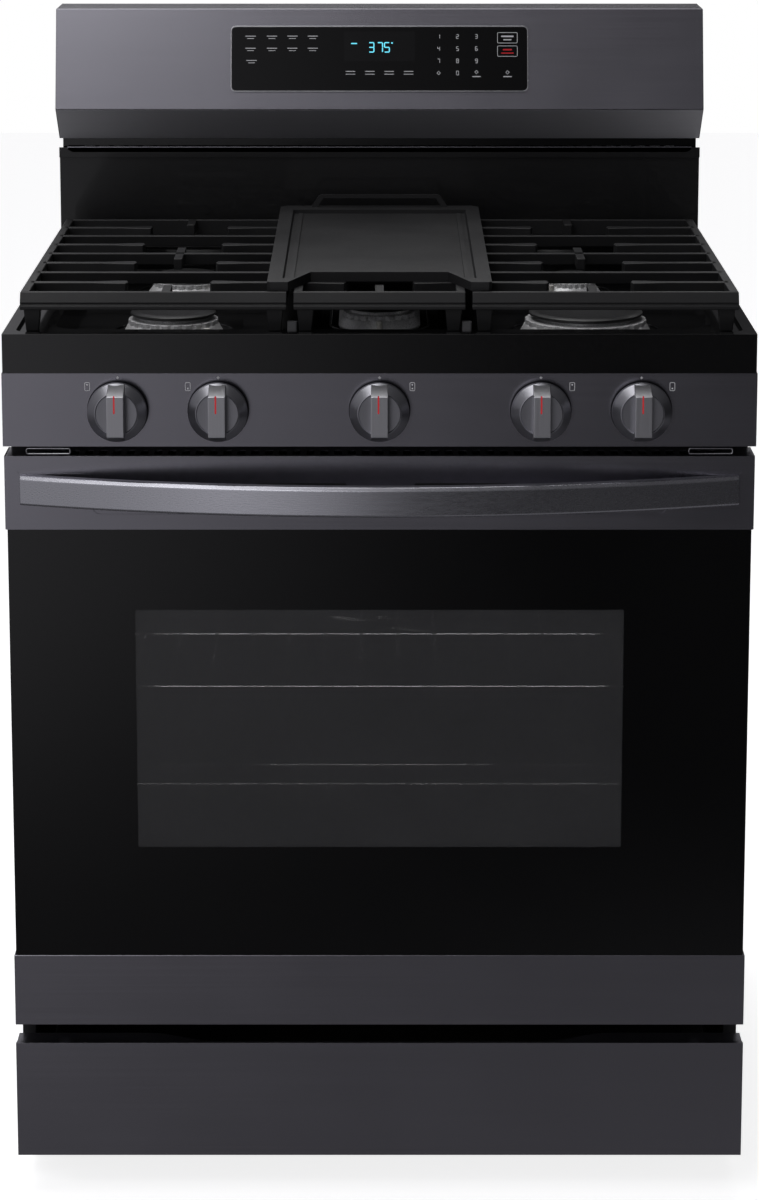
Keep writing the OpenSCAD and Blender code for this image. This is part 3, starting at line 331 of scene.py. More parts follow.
def wall(bm, first, second):
    """Quads between two closed loops of 3D points of the same length."""
    a = [bm.verts.new(p) for p in first]
    b = [bm.verts.new(p) for p in second]
    for i in range(len(a)):
        k = (i + 1) % len(a)
        bm.faces.new((a[i], a[k], b[k], b[i]))


def block(bm, low, high):
    """Add a closed block between two corners."""
    made = bmesh.ops.create_cube(bm, size=1.0)["verts"]
    low, high = Vector(low), Vector(high)
    for v in made:
        v.co = Vector((v.co[i] + 0.5) * (high[i] - low[i]) + low[i] for i in range(3))


def tube(bm, path, radius, sides=12, closed=False):
    """Sweep a circle along a path of points."""
    rings = []
    count = len(path)
    for i, p in enumerate(path):
        ahead = path[(i + 1) % count] if closed or i < count - 1 else path[i]
        behind = path[i - 1] if closed or i > 0 else path[i]
        along = (Vector(ahead) - Vector(behind)).normalized()
        side = along.cross(Vector((0, 0, 1)))
        side = side.normalized() if side.length > 0.05 else Vector((1, 0, 0))
        up = side.cross(along).normalized()
        turns = [2 * math.pi * k / sides for k in range(sides)]
        rings.append([bm.verts.new(Vector(p) + radius * (math.cos(turn) * side + math.sin(turn) * up))
                      for turn in turns])
    for i in range(count if closed else count - 1):
        a, b = rings[i], rings[(i + 1) % count]
        for k in range(sides):
            bm.faces.new((a[k], a[(k + 1) % sides], b[(k + 1) % sides], b[k]))
    if not closed:
        bm.faces.new(rings[0][::-1])
        bm.faces.new(rings[-1])


# ---- Where things are ----

FRONT = corners("door_top_trim")[0].y        # the door's front plane


def at(x, depth, z):
    """Point from millimetres: across, back from the door's front plane, and up."""
    return Vector((x * MM, FRONT + depth * MM, z * MM))


def span(node):
    """A CAD node's limits in millimetres: x0, x1, d0, d1, z0, z1."""
    low, high = corners(node)
    return low.x / MM, high.x / MM, (low.y - FRONT) / MM, (high.y - FRONT) / MM, low.z / MM, high.z / MM


def slab(bm, x0, x1, d0, d1, z0, z1):
    block(bm, at(x0, d0, z0), at(x1, d1, z1))


def upright(depth):
    """Place function for outlines drawn on an upright plane facing the front."""
    return lambda x, z: at(x, depth, z)


def level(z):
    """Place function for outlines seen from above."""
    return lambda x, d: at(x, d, z)


def extrude(bm, loops, front, back):
    """Add a closed solid with holes between two place functions."""
    flat_fill(bm, loops, front)
    flat_fill(bm, loops, back)
    for loop in loops:
        wall(bm, [front(*p) for p in loop], [back(*p) for p in loop])


# ---- CAD nodes that are shown as they are, with rounded edges ----

# How wide each one's edges are rounded, in millimetres
EDGES = {
    "base_pan": 0.4, "leveling_legs": 0.5, "side_panel_left": 0.6, "side_panel_right": 0.6, "rear_panel": 0.3,
    "front_frame": 0.3, "oven_liner": 0.6, "oven_insulation": 4, "oven_floor_cover": 0.3, "bake_burner": 0.5,
    "broil_burner": 0.5, "fan_cover": 0.6, "fan_motor": 1, "fan_blade": 0.2, "oven_lamp": 1.5,
    "temperature_probe": 0.4, "door_gasket": 1.4, "hinge_receivers": 0.6, "door_latch": 0.4,
    "door_bottom_trim": 1.0, "door_inner_panel": 0.5, "door_inner_glass": 0.4, "door_hinges": 0.4,
    "drawer_box": 0.5, "drawer_rails": 0.6, "cooktop": 1.4, "igniters": 0.5, "gas_manifold": 0.6,
    "gas_valves": 1, "pressure_regulator": 2, "control_panel": 1.4, "knob_bezels": 0.5,
    "backguard_riser": 0.5, "backguard_panel": 1.2, "backguard_rear_cover": 0.4, "vent_trim": 0.3,
    "touch_glass": 0.3, "control_board": 0.6,
    **{f"valve_stem_{i}": 0.4 for i in range(1, 6)},
}


def dress_cad_nodes():
    for node, width in EDGES.items():
        obj = soften(node, width * MM, 3 if width >= 1 else 2)
        obj.data.materials.clear()
        obj.data.materials.append(RISER if node == "backguard_riser" else MATERIALS[NODE_SLOT[node]])


# ---- Door ----

VENTS = ((-215, 20), (-79, 46), (82, 47), (213, 17))      # each vent's middle and half width, in millimetres


def door_top_trim():
    """Steel strip with a shallow pocket behind the handle, vent slots and two small pressed slots."""
    x0, x1, d0, d1, z0, z1 = span("door_top_trim")
    sheet = 1.5
    pocket = rounded(-290, 290, z0 + 16, z1 - 13, 8)
    small = [rounded(s * 332 - 33, s * 332 + 33, z1 - 18, z1 - 13, 2) for s in (-1, 1)]
    bm = bmesh.new()
    extrude(bm, [rounded(x0, x1, z0, z1, 1), pocket, *small], upright(d0), upright(d0 + sheet))
    vents = [rounded(mid - half, mid + half, z1 - 33, z1 - 28, 2.4) for mid, half in VENTS]
    extrude(bm, [rounded(-294, 294, z0 + 12, z1 - 9, 8), *vents], upright(d0 + 0.9), upright(d0 + 2.4))
    for s in (-1, 1):
        slab(bm, s * 332 - 35, s * 332 + 35, d0 + 0.7, d0 + 2.2, z1 - 20, z1 - 11)
        slab(bm, *sorted((s * x1, s * (x1 - sheet))), d0 + 1, d1, z0, z1)
    top_slots = [rounded(k * 14 - 4, k * 14 + 4, 8, 30, 1) for k in range(-24, 25)]
    extrude(bm, [rounded(x0, x1, d0, d1, 1), *top_slots], level(z1), level(z1 - sheet))
    slab(bm, x0, x1, d0 + 1, d0 + 5, z0, z0 + sheet)
    keep("door_top_trim", bm, "black_stainless", "oven_door", ["door_top_trim"], bevel=0.5 * MM)


def door_vent_mesh():
    """Crossed wires behind the vent slots."""
    _, _, d0, _, _, z1 = span("door_top_trim")
    pitch, lean, wire = 2.5, 1.3, 0.45 * MM
    low, high = z1 - 33.5, z1 - 27.5
    bm = bmesh.new()
    for mid, half in VENTS:
        count = int(half / pitch)
        for k in range(-count, count + 1):
            x = mid + k * pitch
            tube(bm, [at(x - lean, d0 + 3.2, low), at(x + lean, d0 + 3.2, high)], wire, 6)
            tube(bm, [at(x + lean, d0 + 3.6, low), at(x - lean, d0 + 3.6, high)], wire, 6)
    keep("door_vent_mesh", bm, "side_enamel", "oven_door")


def door_glass():
    """Black glass with a clear window pane let into it."""
    x0, x1, d0, d1, z0, z1 = span("door_outer_glass")
    half, low, high = 248.5, z0 + 117, z1 - 84
    gap = 0.1
    window = rounded(-half, half, low, high, 1.5)
    bm = bmesh.new()
    extrude(bm, [rounded(x0, x1, z0, z1, 0.8), window], upright(d0), upright(d1))
    keep("door_outer_glass", bm, "door_glass", "oven_door", ["door_outer_glass"], bevel=0.4 * MM)
    bm = bmesh.new()
    pane = rounded(-half + gap, half - gap, low + gap, high - gap, 1.4)
    extrude(bm, [pane], upright(d0 + 0.05), upright(d1 - 0.6))
    keep("door_window", bm, WINDOW, "oven_door")


def door_handle():
    """Bowed bar with a flat brushed face and a bevel along its top."""
    _, half_w, d0, _, z0, z1 = span("door_handle")
    middle, half_h = (z0 + z1) / 2, (z1 - z0) / 2
    rise, thick, steps = 54, 13, 72
    radius = (half_w * half_w + rise * rise) / (2 * rise)
    profile = [(0, -half_h + 1.6), (0, half_h - 3.4), (3.2, half_h), (thick, half_h), (thick, -half_h),
               (1.4, -half_h)]
    bm = bmesh.new()
    loops = []
    for i in range(steps + 1):
        x = half_w * (2 * i / steps - 1)
        front = d0 + radius - math.sqrt(radius * radius - x * x)
        loops.append([bm.verts.new(at(x, min(front + t, 0), middle + z)) for t, z in profile])
    for a, b in zip(loops, loops[1:]):
        for k in range(len(profile)):
            n = (k + 1) % len(profile)
            bm.faces.new((a[k], a[n], b[n], b[k]))
    bm.faces.new(loops[0])
    bm.faces.new(loops[-1])
    keep("door_handle", bm, "handle_steel", "oven_door", ["door_handle"], bevel=0.7 * MM, sharp=20)


# ---- Drawer ----

def drawer_front():
    """Front with a finger recess that runs out in a smooth slope at both ends."""
    x0, x1, d0, d1, z0, z1 = span("drawer_front")
    flat, ramp, drop, steps = 170, 73, 9, 12
    slope = [(flat + ramp * i / steps, z1 - drop * (1 + math.cos(math.pi * i / steps)) / 2)
             for i in range(steps + 1)]
    top = [(x1 - 0.8, z1)] + slope[::-1] + [(-x, z) for x, z in slope] + [(x0 + 0.8, z1)]
    bm = bmesh.new()
    extrude(bm, [rounded(x0, x1, z0, z1, 0.8)], upright(d0), upright(d0 + 5))
    extrude(bm, [[(x0 + 0.8, z0), (x1 - 0.8, z0)] + top], upright(d0 + 4.5), upright(d1))
    keep("drawer_front", bm, "black_stainless", "storage_drawer", ["drawer_front"], bevel=0.8 * MM)


# ---- Racks ----

def rack(node):
    """Wire shelf: round frame wires, thinner wires front to back, and a raised back stop."""
    _, x1, d0, d1, z0, z1 = span(node)
    r, gaps = 3, 15
    z, half, front, back = z0 + r, x1 - r, d0 + r, d1 - r
    bm = bmesh.new()
    tube(bm, [at(*p, z) for p in rounded(-half, half, front, back, 14)], r * MM, 12, closed=True)
    tube(bm, [at(-half, (front + back) / 2, z), at(half, (front + back) / 2, z)], r * MM)
    for k in range(1, gaps):
        x = -half + k * 2 * half / gaps
        tube(bm, [at(x, front, z + 3), at(x, back, z + 3)], 1.9 * MM, 10)
    stop = [(-half + 12, z), (-half + 12, z1 - r - 6), (-half + 18, z1 - r), (half - 18, z1 - r),
            (half - 12, z1 - r - 6), (half - 12, z)]
    tube(bm, [at(x, back, h) for x, h in stop], 2.6 * MM)
    keep(node, bm, "rack_chrome", node, [node], sharp=60)


# ---- Cooktop ----

def circle(cx, cy, steps=96):
    return lambda r: [(cx + r * math.cos(2 * math.pi * i / steps), cy + r * math.sin(2 * math.pi * i / steps))
                      for i in range(steps)]


def stadium(cx, cy, half_w, half_l, steps=48):
    """Outline longer front to back, set out by the given amount."""
    return lambda out: (arc(cx, cy + half_l - half_w, half_w + out, 0, 180, steps)
                        + arc(cx, cy - half_l + half_w, half_w + out, 180, 360, steps))


def turned(bm, profile, outline):
    """Closed skin through outlines: profile rows are how far out, height, and the depth of teeth if any."""
    last = None
    for out, z, *notch in profile:
        points = outline(out)
        if notch:
            inner = outline(out - notch[0])
            points = [inner[i] if i % 4 == 0 else points[i] for i in range(len(points))]
        ring = [bm.verts.new(at(x, d, z)) for x, d in points]
        if last:
            for i in range(len(ring)):
                k = (i + 1) % len(ring)
                bm.faces.new((last[i], last[k], ring[k], ring[i]))
        else:
            bm.faces.new(ring[::-1])
        last = ring
    bm.faces.new(last)


# Round burners: middle across and back, ring radius, cap radius and height, in millimetres
BURNERS = ((-216.5, 167.25, 47.5, 42, 14), (-216.5, 422.75, 38, 33, 12),
           (216.5, 167.25, 64, 57, 14), (216.5, 422.75, 27, 21, 12))
CENTRE = (0, 295)      # the long burner's middle across and back
WELL = 886      # height of the cooktop's sunken floor


def burner_stub(bm, x, d):
    tube(bm, [at(x, d, WELL - 22), at(x, d, WELL)], 18 * MM, 32)


def burners():
    """Flared aluminium rings with a toothed edge, and enamelled caps."""
    bm = bmesh.new()
    caps = bmesh.new()
    for x, d, r, cap_r, height in BURNERS:
        outline = circle(x, d)
        top = WELL + height
        turned(bm, [(r + 5, WELL - 1), (r + 5, WELL + 1), (r + 4, WELL + 2.4), (r + 0.5, top - 5),
                    (r - 0.4, top - 4.4), (r - 0.4, top - 3.6, 2.2), (r - 0.4, top + 0.6, 2.2),
                    (r - 2.5, top + 1.2, 1), (cap_r - 4, top + 1.4), (cap_r - 5, top + 5.2)], outline)
        burner_stub(bm, x, d)
        turned(caps, [(cap_r - 2, top + 5), (cap_r + 1.5, top + 5), (cap_r + 3, top + 6.4),
                      (cap_r + 2.6, top + 8), (cap_r - 0.5, top + 9.4), (cap_r - 8, top + 9.9),
                      (cap_r - 10, top + 9.4), (cap_r - 14, top + 9.3)], outline)
    outline = stadium(*CENTRE, 38.5, 120)
    top = WELL + 14
    turned(bm, [(5, WELL - 1), (5, WELL + 1), (4, WELL + 2.4), (0.5, top - 5), (-0.4, top - 4.4),
                (-0.4, top - 3.6, 2.2), (-0.4, top + 0.6, 2.2), (-2.5, top + 1.2, 1), (-7, top + 1.4),
                (-7, top + 5.2)], outline)
    burner_stub(bm, *CENTRE)
    turned(caps, [(-6, top + 5), (-3, top + 5), (-2, top + 6.4), (-3, top + 8.6), (-7, top + 9.9),
                  (-12, top + 9.4)], outline)
    keep("burner_heads", bm, "burner_aluminium", "root", ["burner_heads"], bevel=0.25 * MM, sharp=30)
    keep("burner_caps", caps, "cap_enamel", "root", ["burner_caps"], sharp=50)


def drip_rings():
    """Thin raised rings pressed into the well round the burners."""
    bm = bmesh.new()
    loops = [circle(x, d, 72)(r + 16) for x, d, r, *_ in BURNERS]
    for loop in (*loops, stadium(*CENTRE, 52, 134, 30)(0)):
        tube(bm, [at(*p, WELL + 0.2) for p in loop], 1.4 * MM, 8, closed=True)
    keep("drip_rings", bm, "cooktop_enamel", "root", sharp=60)


def bar_x(bm, x0, x1, d, top):
    """Bar across a grate, a little narrower at its foot."""
    section = [(-4.5, 0), (4.5, 0), (3.3, -12), (-3.3, -12)]
    a = [bm.verts.new(at(x0, d + p, top + q)) for p, q in section]
    b = [bm.verts.new(at(x1, d + p, top + q)) for p, q in section]
    for k in range(4):
        n = (k + 1) % 4
        bm.faces.new((a[k], a[n], b[n], b[k]))
    bm.faces.new(a[::-1])
    bm.faces.new(b)


def grate(node, mid, half, open_bars, fingers):
    """Cast grate: sloped front bar with a lip, seven cross bars, flared tips round the burners, and feet.

    The bars numbered in open_bars stop half short of mid on both sides; fingers are bars front to back.
    """
    x0, x1, d0, d1, foot, top = span(node)
    pitch = (d1 - d0 - 11) / 8
    bar = [d0 + 5.5 + i * pitch for i in range(9)]
    bm = bmesh.new()
    front = [(12, 0), (6.5, 0), (1.4, -10.5), (2.6, -12), (0, -13.6), (0, -17.5), (12, -17.5)]
    for sign, start in ((1, d0), (-1, d1)):
        extrude(bm, [[(start + sign * d, top + z) for d, z in front]],
                lambda d, z: at(x0, d, z), lambda d, z: at(x1, d, z))
    for x in (x0, x1 - 9):
        slab(bm, x, x + 9, d0 + 9, d1 - 9, top - 15, top)
    for i in range(1, 8):
        if i not in open_bars:
            bar_x(bm, x0 + 4, x1 - 4, bar[i], top)
            continue
        for s, end in ((-1, x0 + 4), (1, x1 - 4)):
            tip = mid + s * half
            shape = [(end, -4.5), (tip + s * 34, -4.5), (tip + s * 14, -8), (tip, -9), (tip - s * 2, 0),
                     (tip, 9), (tip + s * 14, 8), (tip + s * 34, 4.5), (end, 4.5)]
            extrude(bm, [[(x, bar[i] + d) for x, d in shape]], level(top), level(top - 12))
        slab(bm, mid - half - 16, mid + half + 16, bar[i] - 3, bar[i] + 3, top - 19, top - 11.5)
    for f0, f1 in fingers:
        shape = [(mid - 4.5, f0), (mid + 4.5, f0), (mid + 4.5, f1), (mid - 4.5, f1)]
        extrude(bm, [shape], level(top), level(top - 12))
    for x, lean in ((x0 + 3, 1), (x1 - 21, -1)):
        for d in (d0 + 4, d1 - 18):
            wide = [(x, d), (x + 18, d), (x + 18, d + 14), (x, d + 14)]
            narrow = [(x + 9 + (px - x - 9) * 0.7, d + 7 + (pd - d - 7) * 0.8) for px, pd in wide]
            wall(bm, [at(*p, top - 13) for p in wide], [at(*p, foot) for p in narrow])
            flat_fill(bm, [wide], level(top - 13))
            flat_fill(bm, [narrow], level(foot))
    keep(node, bm, "cast_iron", NODE_BODY[node], [node], bevel=1.3 * MM, segments=3)


def grates():
    front, back, pitch = 34, 556, 63.875
    reach = pitch * 0.62
    ends = [(front + 11, front + 11 + reach), (back - 11 - reach, back - 11)]
    middle = (front + 5.5 + 4 * pitch - reach, front + 5.5 + 4 * pitch + reach)
    grate("left_grate", -216.5, 44, (1, 3, 5, 7), [*ends, middle])
    grate("right_grate", 216.5, 44, (1, 3, 5, 7), [*ends, middle])
    grate("center_grate", 0, 36, (1, 7), ends)


def grate_pads():
    """Small bumpers on the cooktop between the grates' front feet."""
    bm = bmesh.new()
    for s in (-1, 1):
        extrude(bm, [rounded(s * 88.5 - 5, s * 88.5 + 5, 41, 49, 2)], level(909.8), level(919))
    keep("grate_pads", bm, PAD, "root", bevel=0.8 * MM)


def griddle():
    """Plate that rises to the back, with a rim, sunken floor, ridges, cut-back front and looped handle."""
    x0, x1, d0, d1, foot, peak = span("griddle")
    rise = 8 / (d1 - d0)
    cut, sink, taper = 58, 4.5, 0.985

    def plane(drop):
        """Place function for outlines on the sloped top, or under it."""
        return lambda x, d: at(x, d, foot + 9 + rise * (d - d0) - drop)

    edge = [(x0 + 3, d0), (-93, d0), (-71, d0 + cut), (71, d0 + cut), (93, d0), (x1 - 3, d0), (x1, d0 + 3),
            (x1, d1 - 8), (x1 - 8, d1), (x0 + 8, d1), (x0, d1 - 8), (x0, d0 + 3)]
    floor = [(-99, d0 + 22), (-88, d0 + 22), (-77, d0 + cut + 6), (77, d0 + cut + 6), (88, d0 + 22),
             (99, d0 + 22), (99, d1 - 30), (-99, d1 - 30)]
    sunk = [(x * taper, d) for x, d in floor]
    bm = bmesh.new()
    flat_fill(bm, [edge, floor], plane(0))
    wall(bm, [plane(0)(*p) for p in floor], [plane(sink)(*p) for p in sunk])
    flat_fill(bm, [sunk], plane(sink))
    wall(bm, [plane(0)(*p) for p in edge], [level(foot)(*p) for p in edge])
    flat_fill(bm, [edge], level(foot))
    for s in (-1, 1):
        ridge = rounded(*sorted((s * 92.5, s * 87.5)), d0 + 32, d1 - 40, 2.4)
        extrude(bm, [ridge], plane(2.2), plane(4.6))
    handle = [(-81, peak - 18), (81, peak - 18), (70, peak - 1), (67, peak), (-67, peak), (-70, peak - 1)]
    inner = [(-72, peak - 15), (72, peak - 15), (65, peak - 4), (-65, peak - 4)]
    extrude(bm, [handle, inner], upright(d1 - 10), upright(d1 - 6))
    keep("griddle", bm, "griddle_coating", "griddle", ["griddle"], bevel=1.1 * MM, segments=3)


# ---- Controls ----

KNOB_X = (-263, -162, 0, 162, 263)      # the knobs' middles, left to right
KNOB_Z = 836.5      # and their height


def knobs():
    """Turned knob: sloped ring, sunk disc and a grip bar across it with a red line."""
    # Radius, and how far out of the front plane
    rings = ((27, 6.6), (29.4, 6.6), (30, 7.4), (30, 13.6), (29.2, 14.8), (22, 22.6), (21.3, 22.8),
             (20.6, 21.4), (0.5, 21.2))
    grip = [(-28.6, 9), (-28.6, 14.4), (-20.6, 38), (20.6, 38), (28.6, 14.4), (28.6, 9)]
    half = 8.6
    for i, x in enumerate(KNOB_X):
        node = f"knob_{i + 1}"
        body = NODE_BODY[node]

        def out(t):
            return lambda px, pz: at(x + px, -t, KNOB_Z + pz)

        def beside(px):
            return lambda pz, t: at(x + px, -t, KNOB_Z + pz)

        bm = bmesh.new()
        last = None
        for r, t in rings:
            ring = [bm.verts.new(out(t)(px, pz)) for px, pz in circle(0, 0)(r)]
            if last:
                for k in range(len(ring)):
                    n = (k + 1) % len(ring)
                    bm.faces.new((last[k], last[n], ring[n], ring[k]))
            else:
                bm.faces.new(ring)
            last = ring
        bm.faces.new(last)
        keep(node, bm, "knob_metal", body, [node], sharp=30, bevel=0.25 * MM)
        bm = bmesh.new()
        extrude(bm, [grip], beside(-half), beside(half))
        keep(f"knob_grip_{i + 1}", bm, GRIP, body, [node], bevel=0.7 * MM, segments=3)
        bm = bmesh.new()
        extrude(bm, [rounded(-1.8, -0.2, 3.6, 21.8, 0.7)], out(38.25), out(37.6))
        keep(f"knob_line_{i + 1}", bm, RED, body)


SEGMENTS = {"0": "abcdef", "1": "bc", "2": "abged", "3": "abgcd", "4": "fgbc", "5": "afgcd", "6": "afgedc",
            "7": "abc", "8": "abcdefg", "9": "abcdfg"}


def digit(bm, place, text, u, v, wide, high, line):
    """Segment digit with its middle at u, v; place(n) places points n millimetres out of the surface."""
    w, h = wide / 2, high / 2
    ends = {"a": (-w, h, w, h), "b": (w, h, w, 0), "c": (w, 0, w, -h), "d": (-w, -h, w, -h),
            "e": (-w, 0, -w, -h), "f": (-w, h, -w, 0), "g": (-w, 0, w, 0)}
    for name in SEGMENTS[text]:
        a, b, c, d = ends[name]
        t = line / 2
        box = (min(a, c) - t, max(a, c) + t, min(b, d) + t * 0.2, max(b, d) - t * 0.2) if a == c else (
            min(a, c) + t * 0.2, max(a, c) - t * 0.2, b - t, b + t)
        bar(bm, place, u + box[0], u + box[1], v + box[2], v + box[3])


def printed(bm, place, loops):
    """Thin printed shape that stands just out of its surface."""
    extrude(bm, loops, place(0.16), place(-0.1))


def bar(bm, place, u0, u1, v0, v1):
    r = min(u1 - u0, v1 - v0) * 0.3
    printed(bm, place, [rounded(u0, u1, v0, v1, r, 2)])


def frame_line(bm, place, u0, u1, v0, v1, line, r):
    inner = rounded(u0 + line, u1 - line, v0 + line, v1 - line, max(r - line, 0.2))
    printed(bm, place, [rounded(u0, u1, v0, v1, r), inner])


def diamond(u, v, r):
    return [(u - r, v), (u, v - r), (u + r, v), (u, v + r)]


def panel_marks():
    """Burner pictures and pointer marks on the control panel."""
    def place(n):
        return lambda x, z: at(x, -n, z)

    # Each picture's middle, and where its dots are: 1 above and -1 below
    icons = ((-293.5, (1,)), (-192.5, (-1,)), (33, (-1, 1)), (193.5, (1,)), (294, (-1,)))
    z, pointer_z = 860.5, 869.5
    bm = bmesh.new()
    for knob_x, (icon_x, dots) in zip(KNOB_X, icons):
        frame_line(bm, place, icon_x - 2.7, icon_x + 2.7, z - 4.4, z + 4.4, 0.5, 1.4)
        for s in dots:
            printed(bm, place, [circle(icon_x, z + s * 1.9, 16)(0.8)])
        printed(bm, place, [diamond(knob_x, pointer_z, 1.6)])
    keep("panel_marks", bm, PRINT, "root")


# Backguard's front in section, as depth and height: foot of the chin, the bend, and the top
GUARD_FOOT = Vector((0, 610, 1037))
GUARD_BEND = Vector((0, 565, 1076))
GUARD_TOP = Vector((0, 595, 1190))


def touch_panel():
    """Bright frame, display digits, keypad and label dashes on the touch glass."""
    low, high = corners("touch_glass")
    up = (GUARD_TOP - GUARD_BEND).normalized()
    out = Vector((0, -up.z, up.y))
    middle = (low + high) / 2 + out * 1.0 * MM

    def place(n):
        return lambda u, v: middle + Vector((u * MM, 0, 0)) + up * (v * MM) + out * (n * MM)

    bm = bmesh.new()
    extrude(bm, [rounded(-172.6, 172.6, -38.6, 38.6, 6), rounded(-171.2, 171.2, -37.2, 37.2, 4.8)],
            place(0.25), place(-1.9))
    keep("touch_frame", bm, TRIM, "root", bevel=0.2 * MM)
    bm = bmesh.new()
    extrude(bm, [rounded(-41, 41, -3, 32, 1)], place(0.1), place(-0.1))
    keep("display_window", bm, DISPLAY, "root")

    lit = bmesh.new()
    for text, u in (("3", -9.3), ("7", 0.7), ("5", 8.6)):
        digit(lit, place, text, u, 13.4, 5.6, 11, 1.3)
    bar(lit, place, 13.6, 15.4, 17.6, 19.4)
    bar(lit, place, -33, -26, 17.2, 18.6)
    keep("display_digits", lit, LIT, "root")

    ink = bmesh.new()
    rows, keys, bottom = (26.1, 11.9, -2.4), (68.6, 90.4, 112.3), -16.6
    labels = (-149.5, -124.7, -101, -77.4)
    for v, columns in zip(rows, (labels, labels, (-148.3,))):
        for u in columns:
            bar(ink, place, u - 6, u + 6, v, v + 0.9)
            bar(ink, place, u - 4, u + 4, v - 2.7, v - 2)
    for u in (-33.7, -11.2, 11.2, 33.7):
        bar(ink, place, u - 5.6, u + 5.6, -15.2, -14.3)
        bar(ink, place, u - 5.6, u + 5.6, -18.4, -17.6)
    keypad = [(str(row * 3 + column + 1), u, v)
              for row, v in enumerate(rows) for column, u in enumerate(keys)]
    for text, u, v in (*keypad, ("0", keys[1], bottom)):
        digit(ink, place, text, u, v, 2.4, 4.6, 0.75)
    for u, v in ((keys[0], bottom), (112.3, -15.5), (148.3, -15.8)):
        printed(ink, place, [diamond(u, v, 2.4), diamond(u, v, 1.5)])
    for u in (112.3, 148.3):
        bar(ink, place, u - 5, u + 5, -21.4, -20.2)
    for v in (18.2, 2.6):
        frame_line(ink, place, 136.5, 160, v, v + 12.8, 0.6, 1.5)
    bar(ink, place, 141, 155.5, 25.4, 27.2)
    bar(ink, place, 143.5, 153, 21.6, 23)
    keep("panel_print", ink, PRINT, "root")
    red = bmesh.new()
    bar(red, place, 143, 153.5, 9.8, 11.6)
    bar(red, place, 141, 155.5, 6, 7.4)
    keep("panel_print_red", red, RED, "root")


def corner_slots():
    """Slot frames beside the gap above the door."""
    middle, half = 334, 22
    bm = bmesh.new()
    for s in (-1, 1):
        loop = rounded(s * middle - half, s * middle + half, 791, 796.4, 1.6, 4)
        tube(bm, [at(x, 3, z) for x, z in loop], 0.75 * MM, 8, closed=True)
    keep("corner_slots", bm, TRIM, "root", sharp=60)


def backguard_lip():
    """Narrow strip along the backguard's lower edge."""
    bm = bmesh.new()
    section = [(-366, 1024), (-360, 1021), (360, 1021), (366, 1024), (366, 1028), (-366, 1028)]
    extrude(bm, [section], upright(604), upright(608))
    keep("backguard_lip", bm, "black_stainless", "root", bevel=0.5 * MM)


def backguard_chin():
    """Thin face on the slope below the backguard's bend, in a lighter grey: painted sheen that stands in for
    the light the backguard's black steel reflects there.
    """
    length = (GUARD_BEND - GUARD_FOOT).length
    along = (GUARD_BEND - GUARD_FOOT).normalized()
    out = Vector((0, -along.z, along.y))

    def place(n):
        def point(x, t):
            spot = GUARD_FOOT + along * t + out * n
            return at(x, spot.y, spot.z)
        return point

    bm = bmesh.new()
    extrude(bm, [rounded(-374.5, 374.5, 0.8, length - 0.8, 0.6)], place(0.4), place(-0.2))
    keep("backguard_chin", bm, CHIN_PAINTED_SHEEN, "root")


# ---- Materials that only some pieces use ----

WINDOW = glass("door_window", (0.036, 0.036, 0.038), 0.55, 0.1)
GRIP = brushed("knob_grip", (0.62, 0.62, 0.65), (0.3, 0.4), ALONG_Z)
RED = painted("red_print", (0.62, 0.012, 0.02), (0.3, 0.4), 0.00001)
PRINT = painted("light_print", (0.62, 0.62, 0.64), (0.4, 0.5), 0.00001)
TRIM = brushed("bright_trim", (0.6, 0.6, 0.62), (0.2, 0.28), ALONG_X)
# The chin's grey is painted sheen: a lighter copy of the backguard's black steel, standing in for the light
# that steel reflects on the chin.
CHIN_PAINTED_SHEEN_GREY = (0.2, 0.198, 0.215)
CHIN_PAINTED_SHEEN = finish_surface(principled("chin_painted_sheen", CHIN_PAINTED_SHEEN_GREY, metallic=0.25), ALONG_X, CHIN_PAINTED_SHEEN_GREY, 0.05,
                      (0.4, 0.46), 0.000006, smudge=0.03, detail=2.0)
RISER = enamel("riser_enamel", (0.005, 0.005, 0.0053), (0.3, 0.38))
PAD = painted("rubber_pad", (0.13, 0.13, 0.135), (0.6, 0.75))
DISPLAY = glass("display", (0.006, 0.006, 0.0065), 1.0, 0.05)
LIT = glowing("display_light", (0.15, 0.72, 0.9), 1.1)

dress_cad_nodes()
door_top_trim()
door_vent_mesh()
door_glass()
door_handle()
drawer_front()
rack("upper_rack")
rack("lower_rack")
burners()
drip_rings()
grates()
grate_pads()
griddle()
knobs()
panel_marks()
touch_panel()
corner_slots()
backguard_lip()
backguard_chin()


# ---- Studio ----

def floor():
    """Pale floor that glows a little, so that it meets the white surround."""
    bm = bmesh.new()
    bmesh.ops.create_grid(bm, x_segments=2, y_segments=2, size=9.0)
    mesh = bpy.data.meshes.new("studio_floor")
    bm.to_mesh(mesh)
    bm.free()
    obj = bpy.data.objects.new("studio_floor", mesh)
    bpy.context.scene.collection.objects.link(obj)
    obj.location.z = -0.0005
    paint = painted("floor_paint", (0.8, 0.8, 0.805), (0.7, 0.85), 0.00002)
    bsdf = paint.node_tree.nodes["Principled BSDF"]
    bsdf.inputs["Emission Color"].default_value = (1, 1, 1, 1)
    bsdf.inputs["Emission Strength"].default_value = 0.8
    mesh.materials.append(paint)
    obj.visible_glossy = False


def ramp_node(tree, source, low, high, start, end):
    """Smooth step from start to end as the source goes from low to high."""
    node = tree.nodes.new("ShaderNodeMapRange")
    node.interpolation_type = "SMOOTHSTEP"
    for key, value in (("From Min", low), ("From Max", high), ("To Min", start), ("To Max", end)):
        node.inputs[key].default_value = value
    tree.links.new(source, node.inputs["Value"])
    return node.outputs["Result"]


def math_node(tree, operation, a, b):
    node = tree.nodes.new("ShaderNodeMath")
    node.operation = operation
    for socket, value in zip(node.inputs, (a, b)):
        if isinstance(value, float):
            socket.default_value = value
        else:
            tree.links.new(value, socket)
    return node.outputs["Value"]


